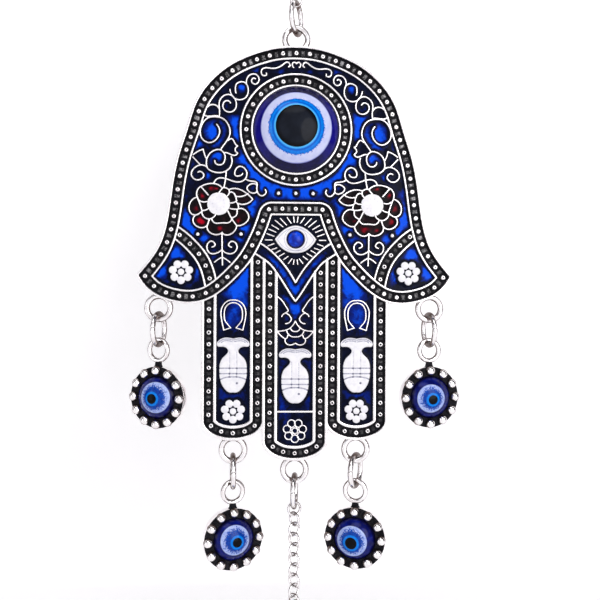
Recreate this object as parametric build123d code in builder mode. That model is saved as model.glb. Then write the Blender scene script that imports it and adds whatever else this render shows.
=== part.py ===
from build123d import *
import os
from math import ceil, cos, radians, sin

os.makedirs("parts", exist_ok=True)

# A hamsa hand that hangs by a ring and a short chain, with an eye charm under each lower corner of
# the palm and under each outer finger, and one at the end of a longer chain under the middle finger.
# Millimetres. +Z is up and the front faces -Y. The origin is the centre of the hanging ring, which
# a hook goes through. A place on the hand is (x, z), seen from the front.

# Rings, chain links and lugs: outer diameter and wire
ring_diameter = 8.7
ring_wire = 1.25
link_diameter = 3.6
link_wire = 0.55
lug_diameter = 6.9
lug_wire = 1.4
charm_ring_diameter = 6.1
charm_ring_wire = 1.15
wire_clearance = 0.05

# The hand's casting: the slab, the walls on it, and its borders from the edge inwards
hand_width = 75.0
hand_height = 98.8
slab_thickness = 2.0
slab_behind_lugs = 1.25
wall_height = 0.9
palm_rim = 0.5
palm_channel = 2.3
palm_wall = 0.5
finger_rim = 0.75
finger_channel = 2.15
finger_wall = 0.75
outer_finger_width = 15.2
middle_finger_width = 15.7
finger_tip_round = 4.8
top_lug_sink = 1.45
side_lug_sink = 0.65
finger_lug_sink = 1.1

# Its fine lines and beads
chevron_line = 0.45
scroll_line = 0.33
petal_line = 0.35
lash_line = 0.28
palmette_line = 0.33
horseshoe_line = 0.33
divider_line = 0.4
redraw_pitch = 2.5
corner_angle = 15
bead_diameter = 1.2
bead_sink = 0.5
palm_bead_pitch = 3.2
finger_bead_pitch = 2.82
bead_margin = 0.3
corner_beads = 5
dot_diameter = 1.1

# The two raised rings round the palm's eye, and the beads between them
eye_fence_diameter = 26.9
eye_fence_wall = 0.5
eye_beads = 24

# Enamels, and the white pieces let into them
enamel_depth = 0.65
almond_height = 0.95
stone_diameter = 4.3
stone_edge = 0.7
stone_rise = 0.9
flower_centre_diameter = 5.7
flower_centre_edge = 0.6
flower_centre_rise = 0.5
daisy_petals = 7
daisy_circle_diameter = 3.9
daisy_petal_diameter = 2.3
daisy_heart_diameter = 1.9
daisy_edge = 0.5
daisy_rise = 0.4
open_daisy_circle_diameter = 3.8
open_daisy_petal_diameter = 2.1
open_daisy_heart_diameter = 1.7
open_daisy_line = 0.3
fish_length = 13.05
fish_height = 0.95
fish_groove = 0.14
fish_groove_depth = 0.15
fish_eye_diameter = 0.4
horseshoe_size = 6.0
horseshoe_floor = 0.6

# The palm's glass eye: its edge, the rise of its dome, and the discs let into it
palm_eye_diameter = 20.4
palm_eye_edge = 0.8
palm_eye_rise = 4.7
palm_eye_white_diameter = 16.8
palm_eye_iris_diameter = 13.0
palm_eye_pupil_diameter = 9.8
palm_eye_inlay_level = 1.2
glass_clearance = 0.05

# An eye charm: bezel, neck, balls, and glass with the discs let into it
bezel_diameter = 14.7
bezel_thickness = 2.2
bezel_behind_ring = 1.3
seat_depth = 0.5
neck_length = 0.8
neck_width = 1.8
neck_sink = 0.5
charm_balls = 12
ball_diameter = 2.3
ball_circle_diameter = 12.7
charm_eye_diameter = 10.0
charm_eye_edge = 0.5
charm_eye_rise = 2.6
charm_eye_white_diameter = 6.6
charm_eye_iris_diameter = 3.4
charm_eye_pupil_diameter = 2.3
charm_eye_inlay_level = 1.0

# How far rings, links and charms are turned about the vertical, in degrees, from facing the front
top_link_turns = [62, -28]
top_ring_turn = 70
ring_turns = {"left": 77, "right": 98.5, "finger_left": 95, "finger_right": 64, "bottom": 83}
charm_turns = {"left": -25, "right": 12, "finger_left": 22, "finger_right": -17, "end": 5}
end_link_turns = [20, -50, 40, -45, 45, -45, 45, -45, 45, -45]
end_ring_turn = 68

# Outlines and places on the hand's right half, as shares of its width from the middle and of its
# height down from the top
palm_top_shares = [(0.000, 0.000), (0.067, 0.004), (0.133, 0.018), (0.200, 0.041), (0.267, 0.081),
     (0.320, 0.139), (0.347, 0.202), (0.369, 0.253), (0.396, 0.354), (0.416, 0.445), (0.436, 0.486),
     (0.467, 0.522), (0.501, 0.553)]
palm_foot_shares = [(0.501, 0.553), (0.481, 0.577), (0.453, 0.597), (0.400, 0.615), (0.344, 0.622),
     (0.285, 0.615), (0.227, 0.588), (0.180, 0.554), (0.144, 0.522), (0.115, 0.484), (0.091, 0.443),
     (0.076, 0.409)]
upper_chevron_shares = [(0.120, 0.473), (0.097, 0.483), (0.067, 0.502), (0.040, 0.524), (0.000, 0.570)]
lower_chevron_shares = [(0.137, 0.496), (0.113, 0.508), (0.084, 0.524), (0.061, 0.545), (0.040, 0.569),
     (0.000, 0.615)]
corner_band_shares = [(0.384, 0.449), (0.355, 0.464), (0.328, 0.483), (0.304, 0.504), (0.285, 0.529),
     (0.272, 0.559), (0.267, 0.577)]
scroll_shares = [
    [(0.009, 0.052), (0.013, 0.047), (0.011, 0.041), (0.006, 0.040), (0.000, 0.043)],
    [(0.025, 0.051), (0.021, 0.048), (0.023, 0.042), (0.031, 0.040), (0.040, 0.044),
         (0.053, 0.051), (0.067, 0.055), (0.083, 0.055), (0.101, 0.055), (0.110, 0.059),
         (0.111, 0.067), (0.105, 0.073), (0.096, 0.072), (0.095, 0.067)],
    [(0.158, 0.092), (0.157, 0.082), (0.149, 0.073), (0.139, 0.070), (0.127, 0.071),
         (0.119, 0.079), (0.120, 0.088), (0.129, 0.094), (0.139, 0.091), (0.142, 0.085),
         (0.137, 0.080), (0.130, 0.081)],
    [(0.191, 0.116), (0.193, 0.104), (0.189, 0.094), (0.180, 0.090), (0.169, 0.089),
         (0.159, 0.093), (0.153, 0.103), (0.153, 0.115), (0.160, 0.126), (0.176, 0.132),
         (0.192, 0.130), (0.204, 0.121), (0.210, 0.108)],
    [(0.244, 0.173), (0.243, 0.154), (0.243, 0.137), (0.229, 0.123), (0.213, 0.120),
         (0.197, 0.127), (0.190, 0.140), (0.193, 0.154), (0.208, 0.162), (0.224, 0.159),
         (0.232, 0.149), (0.228, 0.138), (0.217, 0.135), (0.208, 0.140)],
    [(0.281, 0.151), (0.272, 0.146), (0.259, 0.145), (0.244, 0.154)],
    [(0.292, 0.162), (0.288, 0.171), (0.277, 0.173), (0.244, 0.173)],
    [(0.251, 0.192), (0.253, 0.228), (0.273, 0.236), (0.296, 0.227), (0.303, 0.212),
         (0.297, 0.192), (0.279, 0.177), (0.253, 0.174), (0.229, 0.179), (0.213, 0.195),
         (0.210, 0.216), (0.223, 0.235), (0.239, 0.253)],
    [(0.215, 0.230), (0.201, 0.227), (0.195, 0.234), (0.185, 0.243)],
    [(0.185, 0.243), (0.193, 0.252), (0.185, 0.260)],
    [(0.185, 0.260), (0.196, 0.266), (0.211, 0.262), (0.227, 0.260)],
    [(0.205, 0.269), (0.203, 0.283), (0.212, 0.298), (0.233, 0.307), (0.259, 0.306),
         (0.279, 0.297), (0.283, 0.280), (0.275, 0.264), (0.257, 0.254), (0.239, 0.253),
         (0.227, 0.262), (0.225, 0.275), (0.235, 0.288), (0.249, 0.288), (0.257, 0.279)],
    [(0.324, 0.265), (0.309, 0.257), (0.293, 0.252)],
    [(0.293, 0.252), (0.289, 0.264), (0.284, 0.273)],
    [(0.325, 0.271), (0.301, 0.290)],
    [(0.280, 0.295), (0.301, 0.290), (0.321, 0.297), (0.330, 0.313), (0.316, 0.325),
         (0.297, 0.322), (0.291, 0.314), (0.299, 0.306), (0.309, 0.307)],
    [(0.221, 0.304), (0.223, 0.324), (0.228, 0.343)],
    [(0.259, 0.332), (0.248, 0.322), (0.221, 0.322), (0.192, 0.329), (0.169, 0.327),
         (0.156, 0.314), (0.161, 0.298), (0.177, 0.292), (0.192, 0.301), (0.191, 0.314),
         (0.179, 0.315), (0.169, 0.309)],
    [(0.159, 0.321), (0.141, 0.327), (0.125, 0.330), (0.124, 0.344), (0.120, 0.356),
         (0.108, 0.362), (0.096, 0.356), (0.097, 0.347)],
    [(0.125, 0.336), (0.145, 0.335), (0.155, 0.343), (0.148, 0.352), (0.124, 0.352)],
    [(0.233, 0.491), (0.248, 0.500), (0.269, 0.501), (0.280, 0.489), (0.277, 0.477),
         (0.265, 0.472), (0.255, 0.479), (0.264, 0.486)],
    [(0.233, 0.491), (0.219, 0.500), (0.200, 0.501), (0.186, 0.489), (0.189, 0.477),
         (0.201, 0.472), (0.212, 0.479), (0.203, 0.486)],
    [(0.256, 0.522), (0.244, 0.515), (0.232, 0.510)],
    [(0.208, 0.522), (0.220, 0.515), (0.232, 0.510)],
    [(0.233, 0.405), (0.233, 0.466), (0.231, 0.529)],
]
petal_edge_shares = [
    [(0.299, 0.341), (0.309, 0.347), (0.313, 0.356), (0.311, 0.367)],
    [(0.311, 0.367), (0.328, 0.374), (0.337, 0.392), (0.332, 0.404), (0.317, 0.410)],
    [(0.317, 0.410), (0.323, 0.427), (0.305, 0.439), (0.279, 0.433)],
    [(0.279, 0.433), (0.276, 0.447), (0.256, 0.456), (0.233, 0.451)],
    [(0.233, 0.451), (0.216, 0.457), (0.196, 0.449), (0.187, 0.434)],
    [(0.187, 0.434), (0.164, 0.430), (0.149, 0.415), (0.160, 0.397), (0.181, 0.394)],
    [(0.181, 0.394), (0.182, 0.387), (0.185, 0.380)],
    [(0.185, 0.380), (0.164, 0.383), (0.147, 0.378), (0.137, 0.370)],
    [(0.137, 0.370), (0.155, 0.357), (0.179, 0.347), (0.212, 0.348)],
    [(0.212, 0.348), (0.221, 0.344), (0.233, 0.344)],
    [(0.233, 0.344), (0.248, 0.336), (0.271, 0.334), (0.299, 0.341)],
]
petal_line_shares = [
    [(0.299, 0.342), (0.277, 0.361)],
    [(0.233, 0.345), (0.244, 0.356)],
    [(0.212, 0.348), (0.211, 0.356), (0.219, 0.364)],
    [(0.211, 0.355), (0.197, 0.356), (0.190, 0.366), (0.188, 0.378)],
    [(0.208, 0.380), (0.197, 0.379), (0.187, 0.374)],
    [(0.208, 0.393), (0.195, 0.395), (0.181, 0.394)],
    [(0.187, 0.395), (0.187, 0.407), (0.203, 0.416)],
    [(0.215, 0.399), (0.203, 0.417), (0.187, 0.434)],
    [(0.266, 0.418), (0.251, 0.429), (0.233, 0.428), (0.216, 0.428), (0.202, 0.418)],
    [(0.296, 0.399), (0.291, 0.413), (0.275, 0.419), (0.261, 0.415), (0.253, 0.407)],
    [(0.311, 0.367), (0.303, 0.383), (0.296, 0.399)],
    [(0.296, 0.399), (0.283, 0.397), (0.275, 0.393)],
    [(0.305, 0.374), (0.295, 0.378), (0.281, 0.377)],
    [(0.296, 0.399), (0.305, 0.406), (0.317, 0.410)],
    [(0.273, 0.420), (0.279, 0.433)],
    [(0.189, 0.364), (0.171, 0.364), (0.152, 0.357)],
]
palmette_shares = [
    [(0.057, 0.604), (0.040, 0.616), (0.028, 0.630), (0.023, 0.638), (0.031, 0.643),
         (0.043, 0.652)],
    [(0.030, 0.644), (0.017, 0.651), (0.013, 0.659), (0.019, 0.666), (0.031, 0.669)],
    [(0.000, 0.663), (0.007, 0.672), (0.017, 0.680), (0.031, 0.685), (0.056, 0.687)],
    [(0.015, 0.680), (0.008, 0.687), (0.000, 0.688)],
    [(0.028, 0.685), (0.017, 0.698), (0.000, 0.701)],
    [(0.055, 0.690), (0.043, 0.700), (0.031, 0.705), (0.024, 0.697)],
    [(0.031, 0.705), (0.031, 0.714), (0.021, 0.720), (0.011, 0.720), (0.000, 0.716)],
]
lash_shares = [
    ((0.096, 0.468), (0.075, 0.468)),
    ((0.091, 0.453), (0.069, 0.459)),
    ((0.085, 0.442), (0.063, 0.449)),
    ((0.076, 0.432), (0.054, 0.442)),
    ((0.065, 0.421), (0.041, 0.436)),
    ((0.049, 0.416), (0.029, 0.432)),
    ((0.027, 0.414), (0.015, 0.427)),
    ((0.007, 0.412), (0.005, 0.425)),
    ((0.087, 0.482), (0.069, 0.477)),
    ((0.075, 0.491), (0.060, 0.487)),
    ((0.063, 0.499), (0.049, 0.493)),
    ((0.052, 0.507), (0.036, 0.500)),
    ((0.038, 0.515), (0.024, 0.507)),
    ((0.023, 0.524), (0.012, 0.513)),
    ((0.007, 0.526), (0.005, 0.515)),
]
almond_shares = [(0.066, 0.466), (0.053, 0.454), (0.035, 0.442), (0.016, 0.435), (0.000, 0.433)]
almond_low_shares = [(0.066, 0.466), (0.055, 0.479), (0.036, 0.492), (0.017, 0.498), (0.000, 0.499)]

palm_eye_share = (0.0, 0.202)
flower_share = (0.244, 0.382)
corner_daisy_share = (0.361, 0.546)
middle_dot_share = (0.0, 0.355)
dot_shares = [(0.055, 0.355), (0.309, 0.455), (0.173, 0.454)]
stone_share = (0.0, 0.466)
side_lug_share = (0.433, 0.604)

# The same for places in the fingers, by their share of the hand's height down from the top
finger_root_share = 0.420
outer_tip_share = 0.951
horseshoe_share = 0.642
outer_fish_share = 0.703
middle_fish_share = 0.729
outer_daisy_share = 0.880
divider_share = 0.881
open_daisy_share = 0.927

# The right half of a fish, nose down, as shares of its length from its middle and down from its tail
fish_tail_shares = [(0.000, 0.015), (0.077, 0.000), (0.161, 0.000), (0.238, 0.031), (0.287, 0.077),
     (0.299, 0.130)]
fish_body_shares = [(0.299, 0.130), (0.276, 0.165), (0.207, 0.169), (0.126, 0.192), (0.096, 0.245),
     (0.123, 0.299), (0.199, 0.375), (0.241, 0.467), (0.253, 0.590), (0.238, 0.759), (0.161, 0.927),
     (0.084, 0.992), (0.000, 1.000)]
fish_gill_shares = [(0.000, 0.713), (0.130, 0.724), (0.226, 0.759)]
fish_line_shares = [
    [(-0.240, 0.556), (0.240, 0.556)],
    [(-0.245, 0.655), (0.245, 0.655)],
    [(-0.065, 0.250), (-0.065, 0.715)],
    [(0.065, 0.250), (0.065, 0.715)],
]
fish_eye_share = (0.069, 0.828)

# The right half of a horseshoe, as shares of its size from its middle and down from its centre
horseshoe_outer_shares = [(0.000, -0.483), (0.183, -0.458), (0.367, -0.325), (0.483, -0.067),
     (0.483, 0.167), (0.433, 0.450), (0.375, 0.708)]
horseshoe_inner_shares = [(0.000, -0.375), (0.183, -0.325), (0.325, -0.150), (0.358, 0.100),
     (0.325, 0.333), (0.225, 0.475), (0.108, 0.617)]

right = 1
left = -1


def keep(piece, name):
    """Label a finished piece and write it under its name."""
    piece.part.label = name
    export_step(piece.part, f"parts/{name}.step")


# Heights and places that follow from the sizes

def drop(upper, lower):
    """How far a ring's centre hangs below that of the ring that it hangs in."""
    upper_diameter, upper_wire = upper
    lower_diameter, lower_wire = lower
    return (upper_diameter + lower_diameter) / 2 - upper_wire - lower_wire - wire_clearance


ring = (ring_diameter, ring_wire)
link = (link_diameter, link_wire)
lug = (lug_diameter, lug_wire)
charm_ring = (charm_ring_diameter, charm_ring_wire)

top_link_heights = [-drop(ring, link) - number * drop(link, link) for number in range(len(top_link_turns))]
top_ring_height = top_link_heights[-1] - drop(link, ring)
top_lug = (0, top_ring_height - drop(ring, lug))
hand_top = top_lug[1] - lug_diameter / 2 + top_lug_sink

floor = slab_thickness - slab_behind_lugs
palm_border = palm_rim + palm_channel + palm_wall
finger_border = finger_rim + finger_channel + finger_wall
finger_x = (middle_finger_width + outer_finger_width) / 2 - finger_rim


def place(share, side=right):
    """The place (x, z) of a share of the hand."""
    return (side * share[0] * hand_width, hand_top - share[1] * hand_height)


def places(shares, side=right):
    return [place(share, side) for share in shares]


def height(share):
    return place((0, share))[1]


outer_tip = height(outer_tip_share)
middle_tip = height(1)
lug_drop = lug_diameter / 2 - finger_lug_sink
side_lug_x, side_edge = place(side_lug_share)
lugs = {
    "left": (-side_lug_x, side_edge - lug_diameter / 2 + side_lug_sink),
    "right": (side_lug_x, side_edge - lug_diameter / 2 + side_lug_sink),
    "finger_left": (-finger_x, outer_tip - lug_drop),
    "finger_right": (finger_x, outer_tip - lug_drop),
    "bottom": (0, middle_tip - lug_drop),
}


# Outlines of the hand, drawn flat: x is to the right and y is up

def redraw(area):
    """An area with each smooth stretch of its edge, arcs and straights apart, drawn as one spline."""
    edges = area.face().outer_wire().order_edges()
    plain = {GeomType.LINE, GeomType.CIRCLE}
    stretches = []
    for before, edge in zip([edges[-1]] + edges[:-1], edges):
        beside_plain = plain & {before.geom_type, edge.geom_type}
        if beside_plain or not stretches or (before % 1).get_angle(edge % 0) > corner_angle:
            stretches.append([edge])
        else:
            stretches[-1].append(edge)
    with BuildSketch() as redrawn:
        with BuildLine():
            for stretch in stretches:
                if stretch[0].geom_type in plain:
                    add(stretch[0])
                else:
                    line = Wire(stretch)
                    spans = ceil(line.length / redraw_pitch) + 1
                    Spline(*[line @ (number / spans) for number in range(spans + 1)])
        make_face()
    return redrawn.sketch


def inset(area, amount):
    """An area drawn in from its edge by an amount."""
    with BuildSketch() as smaller:
        add(area)
        offset(amount=-amount, mode=Mode.REPLACE)
    return redraw(smaller.sketch)


def border(area, outer, inner):
    """The strip of an area between two distances from its edge."""
    with BuildSketch() as strip:
        if outer == 0:
            add(area)
        else:
            add(inset(area, outer))
        add(inset(area, inner), mode=Mode.SUBTRACT)
    return strip.sketch


def stroke(line, width):
    """A stroke of one width along a line of places."""
    with BuildSketch() as stroked:
        with BuildLine():
            if len(line) > 2:
                Spline(*line)
            else:
                Line(*line)
        trace(line_width=width)
    return stroked.sketch


def strokes(lines, width):
    """Strokes of one width along lines of places on the right half, and mirrored on the left."""
    with BuildSketch() as stroked:
        for line in lines:
            add(stroke(line, width))
        mirror(about=Plane.YZ)
    return stroked.sketch


with BuildSketch() as palm:
    bar_end = palm_foot_shares[-1]
    with BuildLine():
        Spline(*places(palm_top_shares, left)[:0:-1], *places(palm_top_shares))
        Spline(*places(palm_foot_shares))
        Line(place(bar_end), place(bar_end, left))
        Spline(*places(palm_foot_shares, left))
    make_face()


def under_bar(chevron_shares):
    """The area between the bar at the palm's foot and a chevron under it."""
    chevron_end = place(chevron_shares[0])
    bar_height = place(bar_end)[1]
    with BuildSketch() as area:
        with BuildLine():
            Spline(*places(chevron_shares))
            Spline(*places(chevron_shares, left))
            Polyline(
                chevron_end,
                (chevron_end[0], bar_height),
                (-chevron_end[0], bar_height),
                place(chevron_shares[0], left),
            )
        make_face()
        add(palm.sketch, mode=Mode.SUBTRACT)
    return area.sketch


eye_panel = under_bar(upper_chevron_shares)
palm_foot_panel = under_bar(lower_chevron_shares)
with BuildSketch() as palm_and_panel:
    add(palm.sketch)
    add(palm_foot_panel)


def finger(width, tip):
    """A finger about x = 0, from its root under the palm down to its rounded tip."""
    root = height(finger_root_share)
    round_start = tip + finger_tip_round
    with BuildSketch() as area:
        with BuildLine():
            Line((-width / 2, root), (-width / 2, round_start))
            EllipticalCenterArc((0, round_start), width / 2, finger_tip_round, start_angle=180, arc_size=180)
            Line((width / 2, round_start), (width / 2, root))
            Line((width / 2, root), (-width / 2, root))
        make_face()
    return area.sketch


outer_finger = finger(outer_finger_width, outer_tip)
middle_finger = finger(middle_finger_width, middle_tip)
finger_places = {"left": -finger_x, "middle": 0, "right": finger_x}
finger_areas = {"left": outer_finger, "middle": middle_finger, "right": outer_finger}

with BuildSketch() as hand:
    add(palm_and_panel.sketch)
    for name, x in finger_places.items():
        with Locations((x, 0)):
            add(finger_areas[name])


# The rows of beads in the channels

def right_half_line(area, amount):
    """The line that runs inside the edge of an area's right half, between its two middle ends."""
    with BuildSketch() as half:
        add(inset(area, amount))
        split(bisect_by=Plane.YZ)
    return Wire([edge for edge in half.edges() if (edge @ 0.5).X > bead_margin])


def spaced_places(line, pitch):
    """Places along a line, evenly spaced at about a pitch, from one end to the other."""
    gaps = round(line.length / pitch)
    return [line.position_at(number / gaps) for number in range(gaps + 1)]


def both_sides(points):
    """Places of the right half as (x, z), with those that mirror them on the left."""
    both = [(point.X, point.Y) for point in points]
    both += [(-point.X, point.Y) for point in points if point.X > bead_margin]
    return both


palm_line = right_half_line(palm.sketch, palm_rim + palm_channel / 2)
palm_beads = both_sides(spaced_places(palm_line, palm_bead_pitch))

with BuildLine() as corner_line:
    Spline(*places(corner_band_shares))
corner_bead_shares = [(number + 0.5) / corner_beads for number in range(corner_beads)]
corner_bead_places = both_sides([corner_line.line @ share for share in corner_bead_shares])

covered = inset(palm_and_panel.sketch, -bead_diameter / 2 - bead_margin)
finger_beads = []
for name, x in finger_places.items():
    line = right_half_line(finger_areas[name], finger_rim + finger_channel / 2)
    for bead_x, bead_z in both_sides(spaced_places(line, finger_bead_pitch)):
        if not covered.is_inside((x + bead_x, bead_z)):
            finger_beads.append((x + bead_x, bead_z))

eye_seat_diameter = palm_eye_diameter + 2 * glass_clearance
eye_bead_circle_radius = (eye_fence_diameter + eye_seat_diameter) / 4


# The hand's lines, walls and fields, drawn flat

chevrons = strokes([places(upper_chevron_shares), places(lower_chevron_shares)], chevron_line)
palm_field = inset(palm.sketch, palm_border)
corner_band = strokes([places(corner_band_shares)], palm_channel + 2 * palm_wall)
corner_channel = strokes([places(corner_band_shares)], palm_channel)
scrolls = strokes([places(shares) for shares in scroll_shares], scroll_line)
lashes = strokes([places(shares) for shares in lash_shares], lash_line)
petal_lines = strokes([places(shares) for shares in petal_edge_shares + petal_line_shares], petal_line)
palmette = strokes([places(shares) for shares in palmette_shares], palmette_line)

with BuildSketch() as flowers:
    with BuildLine():
        for shares in petal_edge_shares:
            Spline(*places(shares))
    make_face()
    mirror(about=Plane.YZ)


def discs(centres, diameter):
    with BuildSketch() as area:
        with Locations(*centres):
            Circle(diameter / 2)
    return area.sketch


def rings(centres, diameter, line):
    """Rings with an outer diameter, each a line wide."""
    with BuildSketch() as area:
        with Locations(*centres):
            Circle(diameter / 2)
            Circle(diameter / 2 - line, mode=Mode.SUBTRACT)
    return area.sketch


def both(share):
    return [place(share, left), place(share, right)]


palm_eye = place(palm_eye_share)
stone = place(stone_share)
flower_centres = both(flower_share)
dots = [place(middle_dot_share)]
for share in dot_shares:
    dots += both(share)

with BuildSketch() as almond:
    with BuildLine():
        Spline(*places(almond_shares, left)[:-1], *places(almond_shares)[::-1])
        Spline(*places(almond_low_shares, left)[:-1], *places(almond_low_shares)[::-1])
    make_face()


def daisy_centres(centre, circle_diameter):
    """The centres of a daisy's petals, the first straight below its heart."""
    turns = [radians(360 * number / daisy_petals) for number in range(daisy_petals)]
    radius = circle_diameter / 2
    return [(centre[0] + radius * sin(turn), centre[1] - radius * cos(turn)) for turn in turns]


def daisy_area(centre):
    with BuildSketch() as area:
        add(discs(daisy_centres(centre, daisy_circle_diameter), daisy_petal_diameter))
        add(discs([centre], daisy_heart_diameter))
    return area.sketch


corner_daisy_centres = both(corner_daisy_share)
finger_daisy_centres = [(-finger_x, height(outer_daisy_share)), (finger_x, height(outer_daisy_share))]
open_daisy_centre = (0, height(open_daisy_share))
with BuildSketch() as open_daisy:
    open_petals = daisy_centres(open_daisy_centre, open_daisy_circle_diameter)
    add(rings(open_petals, open_daisy_petal_diameter, open_daisy_line))
    add(rings([open_daisy_centre], open_daisy_heart_diameter, open_daisy_line))


def scaled(shares, size, centre, side=right):
    """Places from shares of a size, to one side of a centre and down from it."""
    return [(centre[0] + side * share[0] * size, centre[1] - share[1] * size) for share in shares]


fish_tops = {
    "left": (-finger_x, height(outer_fish_share)),
    "middle": (0, height(middle_fish_share)),
    "right": (finger_x, height(outer_fish_share)),
}


def mirrored(shares, size, centre):
    """One line of places across a centre, from shares of its right half that start on its middle."""
    return scaled(shares, size, centre, left)[:0:-1] + scaled(shares, size, centre)


def fish_area(top):
    """A fish's outline, nose down, from the middle of its tail's top."""
    with BuildSketch() as area:
        with BuildLine():
            for side in (left, right):
                Spline(*scaled(fish_tail_shares, fish_length, top, side))
                Spline(*scaled(fish_body_shares, fish_length, top, side))
        make_face()
    return area.sketch


def fish_lines(top):
    """The lines cut into a fish."""
    with BuildSketch() as area:
        for line_shares in fish_line_shares:
            add(stroke(scaled(line_shares, fish_length, top), fish_groove))
        add(stroke(mirrored(fish_gill_shares, fish_length, top), fish_groove))
        with Locations(scaled([fish_eye_share], fish_length, top)[0]):
            Circle(fish_eye_diameter / 2)
    return area.sketch


horseshoe_centres = [(-finger_x, height(horseshoe_share)), (finger_x, height(horseshoe_share))]


def horseshoe_lines(centre):
    """The raised outline of a horseshoe."""
    with BuildSketch() as area:
        for shares in (horseshoe_outer_shares, horseshoe_inner_shares):
            add(stroke(mirrored(shares, horseshoe_size, centre), horseshoe_line))
        for side in (left, right):
            ends = [horseshoe_outer_shares[-1], horseshoe_inner_shares[-1]]
            add(stroke(scaled(ends, horseshoe_size, centre, side), horseshoe_line))
    return area.sketch


def horseshoe_area(centre):
    """The space that a horseshoe's outline goes round."""
    with BuildSketch() as area:
        with BuildLine():
            for shares in (horseshoe_outer_shares, horseshoe_inner_shares):
                Spline(*mirrored(shares, horseshoe_size, centre))
            for side in (left, right):
                ends = [horseshoe_outer_shares[-1], horseshoe_inner_shares[-1]]
                Line(*scaled(ends, horseshoe_size, centre, side))
        make_face()
    return area.sketch


eye_disc = discs([palm_eye], eye_fence_diameter)
with BuildSketch() as finger_lines:
    for name, x in finger_places.items():
        with Locations((x, 0)):
            add(border(finger_areas[name], 0, finger_rim))
            add(border(finger_areas[name], finger_rim + finger_channel, finger_border))
    with Locations((0, height(divider_share))):
        Rectangle(middle_finger_width - 2 * finger_border, divider_line)
    add(palmette)
    add(open_daisy.sketch)
    for centre in horseshoe_centres:
        add(horseshoe_lines(centre))
    add(palm_and_panel.sketch, mode=Mode.SUBTRACT)
    add(chevrons, mode=Mode.SUBTRACT)

with BuildSketch() as panel_lines:
    add(chevrons)
    add(lashes)
    add(palm.sketch, mode=Mode.SUBTRACT)

with BuildSketch() as corner_walls:
    add(corner_band)
    add(corner_channel, mode=Mode.SUBTRACT)
    add(palm_field, mode=Mode.INTERSECT)

with BuildSketch() as petals:
    add(flowers.sketch)
    add(petal_lines, mode=Mode.SUBTRACT)
    add(discs(flower_centres, flower_centre_diameter), mode=Mode.SUBTRACT)

with BuildSketch() as flower_lines:
    add(petal_lines)
    add(discs(flower_centres, flower_centre_diameter), mode=Mode.SUBTRACT)

with BuildSketch() as scroll_lines:
    add(scrolls)
    add(palm_field, mode=Mode.INTERSECT)
    add(eye_disc, mode=Mode.SUBTRACT)
    add(flowers.sketch, mode=Mode.SUBTRACT)
    add(petal_lines, mode=Mode.SUBTRACT)

with BuildSketch() as palm_ground:
    add(palm_field)
    add(corner_band, mode=Mode.SUBTRACT)
ground_areas = palm_ground.faces().sort_by(SortBy.AREA)


# The hand's slab with its lugs, and what is cast on its front: walls, fine lines and beads

with BuildPart() as hand_plate:
    with BuildSketch(Plane.XZ.offset(-slab_behind_lugs)):
        add(hand.sketch)
    extrude(amount=slab_thickness)
    for x, z in [top_lug, *lugs.values()]:
        with Locations(Plane(origin=(x, 0, z), z_dir=(0, -1, 0))):
            Torus((lug_diameter - lug_wire) / 2, lug_wire / 2)
keep(hand_plate, "hand_plate")

with BuildPart() as palm_walls:
    with BuildSketch(Plane.XZ.offset(floor)):
        add(border(palm.sketch, 0, palm_rim))
        add(border(palm.sketch, palm_rim + palm_channel, palm_border))
        add(corner_walls.sketch)
        add(rings([palm_eye], eye_fence_diameter, eye_fence_wall))
        add(rings([palm_eye], eye_seat_diameter + 2 * eye_fence_wall, eye_fence_wall))
    extrude(amount=wall_height)
keep(palm_walls, "palm_walls")

with BuildPart() as finger_walls:
    with BuildSketch(Plane.XZ.offset(floor)):
        add(finger_lines.sketch)
    extrude(amount=wall_height)
    with BuildSketch(Plane.XZ.offset(floor)):
        for centre in horseshoe_centres:
            add(horseshoe_area(centre))
    extrude(amount=horseshoe_floor)
keep(finger_walls, "finger_walls")

with BuildPart() as fine_lines:
    for area in (scroll_lines.sketch, flower_lines.sketch, panel_lines.sketch):
        with BuildSketch(Plane.XZ.offset(floor)):
            add(area)
        extrude(amount=wall_height)
keep(fine_lines, "fine_lines")

bead_centre = bead_diameter / 2 - bead_sink
dot_centre = wall_height - dot_diameter / 2
with BuildPart() as bead:
    with Locations((0, 0, bead_centre)):
        Sphere(bead_diameter / 2)
    split(bisect_by=Plane.XY)
with BuildPart() as dot:
    Cylinder(dot_diameter / 2, dot_centre, align=(Align.CENTER, Align.CENTER, Align.MIN))
    with Locations((0, 0, dot_centre)):
        Sphere(dot_diameter / 2)
    split(bisect_by=Plane.XY)
with BuildPart(Plane.XZ.offset(floor)) as beads:
    with Locations(palm_eye):
        with PolarLocations(eye_bead_circle_radius, eye_beads):
            add(bead.part)
    with Locations(*palm_beads, *corner_bead_places, *finger_beads):
        add(bead.part)
    with Locations(*dots):
        add(dot.part)
keep(beads, "beads")


# Enamels that fill the fields between the walls

def fill(name, area, cuts, depth=enamel_depth):
    """An enamel that fills an area of the floor, around what stands there."""
    with BuildPart() as enamel:
        with BuildSketch(Plane.XZ.offset(floor)):
            add(area)
            for cut in cuts:
                add(cut, mode=Mode.SUBTRACT)
        extrude(amount=depth)
    keep(enamel, name)


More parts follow.
